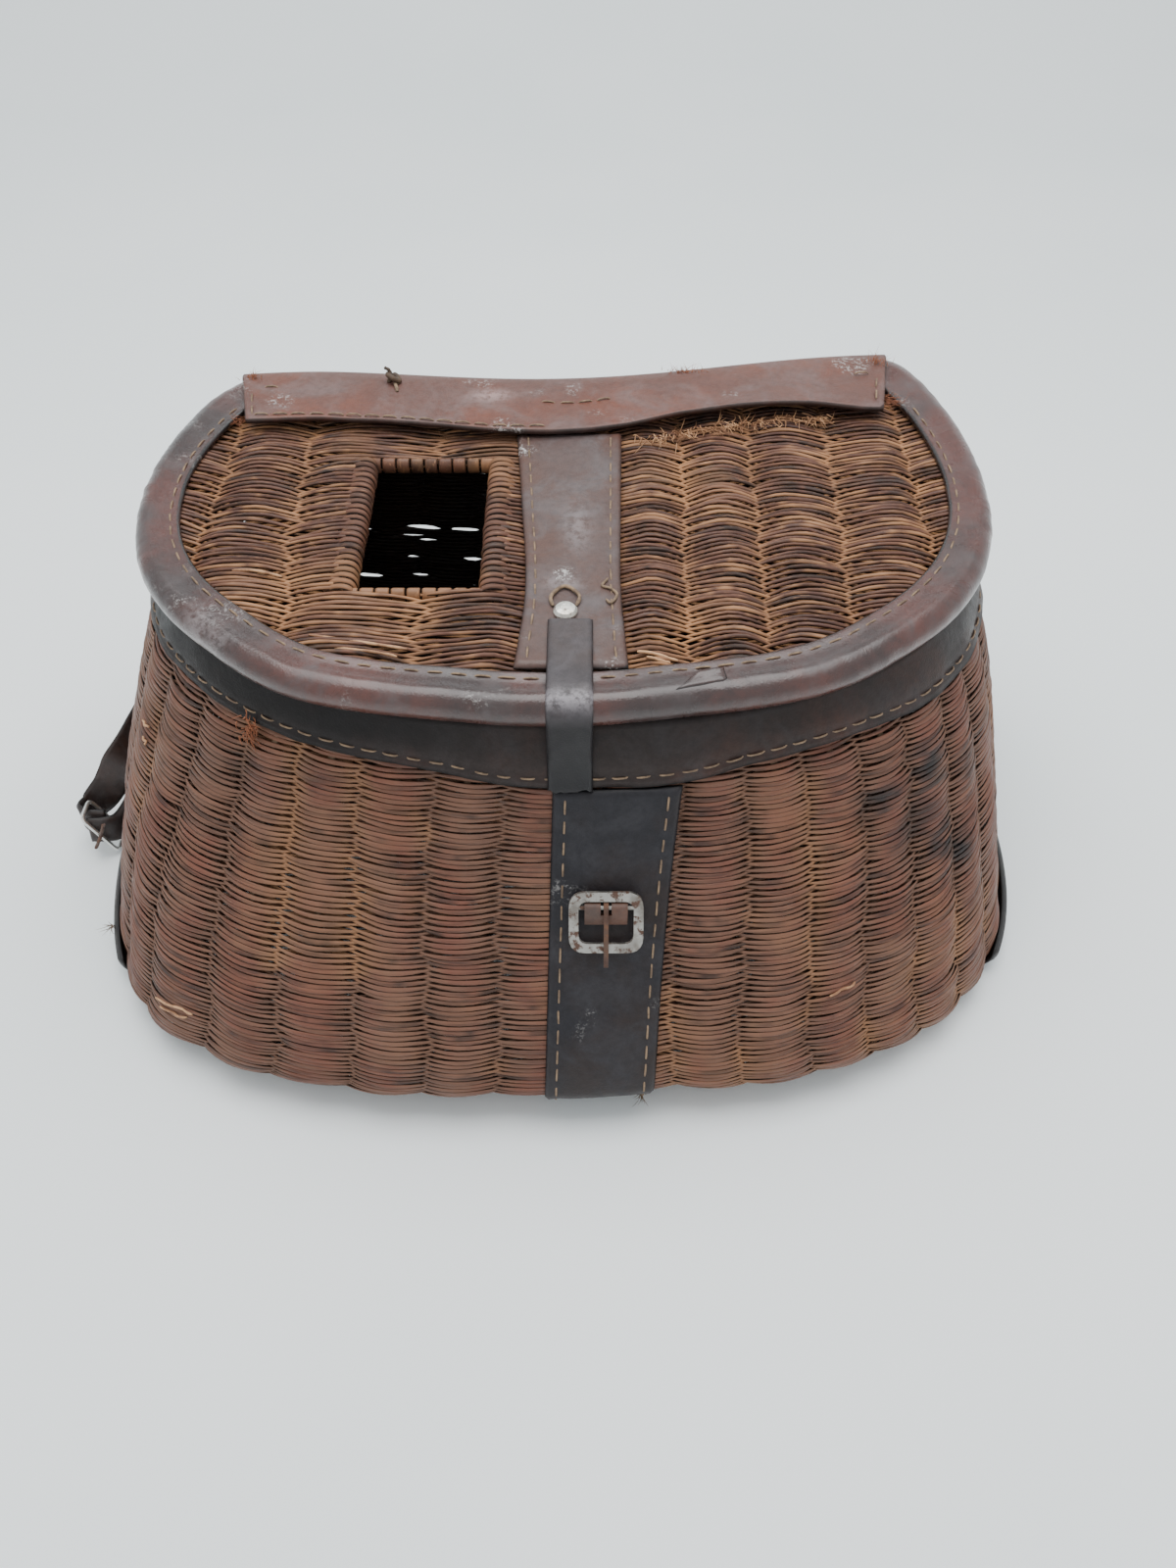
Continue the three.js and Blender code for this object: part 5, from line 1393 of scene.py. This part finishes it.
def loose_splits():
    """Broken and lifted splits, lighter than the rest."""
    t = np.linspace(0, 1, 8)
    for k, (a, low, b, high) in enumerate(WALL_SPLITS):
        line = wall(
            (a + (b - a) * t) / STAKES, low + (high - low) * t, 1.5 + 1.2 * np.sin(t * 5 + k) ** 2 * t
        )
        tube(f"loose_split_{k + 1}", line, 0.55, SPLIT_ENDS, "basket", steps=24, lumps=0.4)
    for k, (a, low, b, high, z) in enumerate(LID_SPLITS):
        line = lid_at(
            a + (b - a) * t, low + (high - low) * t + 0.8 * np.sin(t * 3), z + 0.5 * np.sin(t * 4 + k)
        )
        tube(f"loose_lid_split_{k + 1}", line, 0.62, SPLIT_ENDS, "lid", steps=30, lumps=0.35)


loose_splits()

# Base strips and carrying straps

STRIP_FRONT, STRIP_BACK, STRIP_LOW, STRIP_HIGH, STRIP_THICK = -95.0, 66.0, 0.018, 0.088, 2.4


def base_strip(name, side):
    y = np.linspace(STRIP_FRONT, STRIP_BACK, 70)
    lines = []
    for up in np.linspace(STRIP_LOW, STRIP_HIGH, 8):
        front = LID_FRONT * float(read_table(WALL, "up", "deep", up)) + PATCH_IN
        box = float(read_table(WALL, "up", "boxiness", up))
        rear_turn = 1 + np.arcsin(np.clip(y / (BODY_BACK + PATCH_IN), 0, 1)) / (PI / 2)
        fore_turn = np.arccos(np.clip(-y / front, 0, 1) ** (box / 2)) / (PI / 2)
        lines.append(wall_turn(side, np.where(y >= 0, rear_turn, fore_turn), up, PATCH_IN))
    face = np.stack(lines, 0)
    lift = unit(np.cross(np.gradient(face, axis=1), np.gradient(face, axis=0)))
    lift = np.where((lift[..., 0:1] * side) < 0, -lift, lift)
    slab(name + "_leather", face, lift, STRIP_THICK, 1.0, BLACK_LEATHER, "basket", name)


base_strip("base_strip_left", -1)
base_strip("base_strip_right", 1)

BASE_HALF = LID_HALF * max(WALL["wide"])
STRAP_FLOOR, STRAP_WIDTH, STRAP_THICK = 8.1, 15.0, 2.2
# Middle line of each strap: side, distance from the base's widest place, y, height and lean in degrees.
SHORT_STRAP = [
    (-1, -12.4, 92, 52, 12), (-1, 0.5, 66, 48, 15), (-1, 8, 42, 40, 30), (-1, 13.5, 27, 32.5, 38),
    (-1, 19, 20.5, 23, 22), (-1, 27, 15.5, 15.5, 8), (-1, 31, 11, 14.5, 0), (-1, 27.5, 7, 13.4, 0),
    (-1, 23, 6.9, 12.7, 0), (-1, 19.3, 7.1, 12.4, 0),
]
LONG_STRAP = [
    (-1, 26, 1.2, STRAP_FLOOR + 5, 0), (-1, 19, 2.2, STRAP_FLOOR + 4.4, 0),
    (-1, 14.6, 5, STRAP_FLOOR + 3.4, 0), (-1, 12.6, 15, STRAP_FLOOR + 1.5, 0),
    (-1, 12.6, 50, STRAP_FLOOR, 0), (-1, 8, 92, STRAP_FLOOR, 0), (-1, -18, 126, STRAP_FLOOR, 0),
    (-1, -80, 133, STRAP_FLOOR, 0), (-1, -190, 131, STRAP_FLOOR, 0), (1, -80, 141, STRAP_FLOOR, 0),
    (1, -20, 141, STRAP_FLOOR, 0), (1, 6, 115, STRAP_FLOOR + 4, 0), (1, 8, 92, STRAP_FLOOR + 16, 0),
    (1, 2, 66, STRAP_FLOOR + 32, 0), (1, -3.1, 46, STRAP_FLOOR + 42, 0),
]


def strap(name, rows, steps, node):
    """Flat strap along a smooth line, upright across it."""
    rows = np.array(rows, float)
    points = np.stack([rows[:, 0] * (BASE_HALF + rows[:, 1]), rows[:, 2], rows[:, 3], rows[:, 4]], -1)
    line = smooth_line(points, steps)
    centre, lean = line[:, :3], np.radians(line[:, 3])
    along = unit(np.gradient(centre, axis=0))
    upward = np.stack([0 * lean, np.sin(lean), np.cos(lean)], -1)
    upward = unit(upward - along * (upward * along).sum(-1, keepdims=True))
    outward = unit(np.cross(along, upward))
    share = np.linspace(-0.5, 0.5, 9)[None, :, None]
    face = centre[:, None, :] + upward[:, None, :] * share * STRAP_WIDTH
    face = face - outward[:, None, :] * (STRAP_THICK / 2)
    lift = np.broadcast_to(outward[:, None, :], face.shape)
    slab(name, face, lift, STRAP_THICK, 0.8, STRAP_LEATHER, "basket", node)


strap("carry_strap_short_leather", SHORT_STRAP, 90, "carry_strap_short")
strap("carry_strap_long_leather", LONG_STRAP, 240, "carry_strap_long")


def rounded(node, width, material, body):
    """A built piece with its sharp edges rounded."""
    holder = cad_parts[node]
    mesh = holder.data.copy()
    mesh.name = node + "_rounded"
    mesh.transform(holder.matrix_world)
    mesh.materials.clear()
    work = bmesh.new()
    work.from_mesh(mesh)
    bmesh.ops.remove_doubles(work, verts=work.verts, dist=1e-6)
    sharp = [e for e in work.edges if len(e.link_faces) == 2 and e.calc_face_angle() > math.radians(50)]
    bmesh.ops.bevel(
        work, geom=sharp, offset=width * MM, segments=3, affect="EDGES", profile=0.5, clamp_overlap=True
    )
    for face in work.faces:
        face.smooth = True
    work.to_mesh(mesh)
    work.free()
    piece = bpy.data.objects.new(node + "_rounded", mesh)
    bpy.context.scene.collection.objects.link(piece)
    dress(piece, material, body, node)


rounded("buckle_frame", 0.6, BUCKLE_METAL, "basket")
rounded("buckle_chape", 0.3, CHAPE_LEATHER, "basket")
rounded("buckle_prong", 0.3, RUST_METAL, "prong")
PLAIN_METAL = (
    ("latch_stud", NICKEL), ("strap_buckle_frame", WIRE_METAL), ("strap_buckle_prong", RUST_METAL)
)
for node, material in PLAIN_METAL:
    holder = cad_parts[node]
    holder.data.materials.clear()
    holder.data.materials.append(material)

# Floor, light and camera


def pale_floor():
    """Floor that curves up into a wall behind the bag."""
    n = Nodes("pale_floor")
    color = n.mix(n.fade(n.noise(3, 2), 0.4, 0.6), (0.90, 0.935, 0.94), (0.93, 0.955, 0.96))
    material = n.finish(color, 0.75)
    curve = np.linspace(0, PI / 2, 12)
    y = np.concatenate([[-3.0, 0.5], 0.9 + 0.6 * np.sin(curve), [1.5]])
    z = np.concatenate([[0.0, 0.0], 0.6 - 0.6 * np.cos(curve), [3.0]])
    points = np.stack([np.stack([np.full_like(y, x), y, z], -1) for x in (-4.0, 4.0)]) / MM
    piece = make_mesh("studio_floor", points, grid_faces(2, len(y)))
    piece.data.materials.append(material)


def soft_sky():
    world = bpy.data.worlds.new("studio")
    world.use_nodes = True
    sky = world.node_tree.nodes["Background"]
    sky.inputs["Color"].default_value = (0.86, 0.91, 0.93, 1)
    sky.inputs["Strength"].default_value = 1.1
    bpy.context.scene.world = world


LAMP_BEHIND, LAMP_HEIGHT = 0.1, 1.15


def top_light():
    """Large lamp above the bag, a little behind it and aimed at its foot."""
    data = bpy.data.lights.new("top_light", "AREA")
    data.shape = "RECTANGLE"
    data.size, data.size_y = 1.2, 0.9
    data.energy, data.color = 15.0, (1, 1, 1)
    lamp = bpy.data.objects.new("top_light", data)
    lamp.location = (0.0, LAMP_BEHIND, LAMP_HEIGHT)
    lamp.rotation_euler = (math.atan2(LAMP_BEHIND, LAMP_HEIGHT), 0, PI)
    bpy.context.scene.collection.objects.link(lamp)


def photo_camera():
    data = bpy.data.cameras.new("photo_camera")
    data.sensor_fit, data.sensor_height, data.lens = "VERTICAL", 36.0, 29.25
    data.clip_start = 0.01
    camera = bpy.data.objects.new("photo_camera", data)
    camera.location = (0.0086, -0.3875, 0.4346)
    camera.rotation_euler = (math.radians(44.8), 0, 0)
    bpy.context.scene.collection.objects.link(camera)
    bpy.context.scene.camera = camera


pale_floor()
soft_sky()
top_light()
photo_camera()
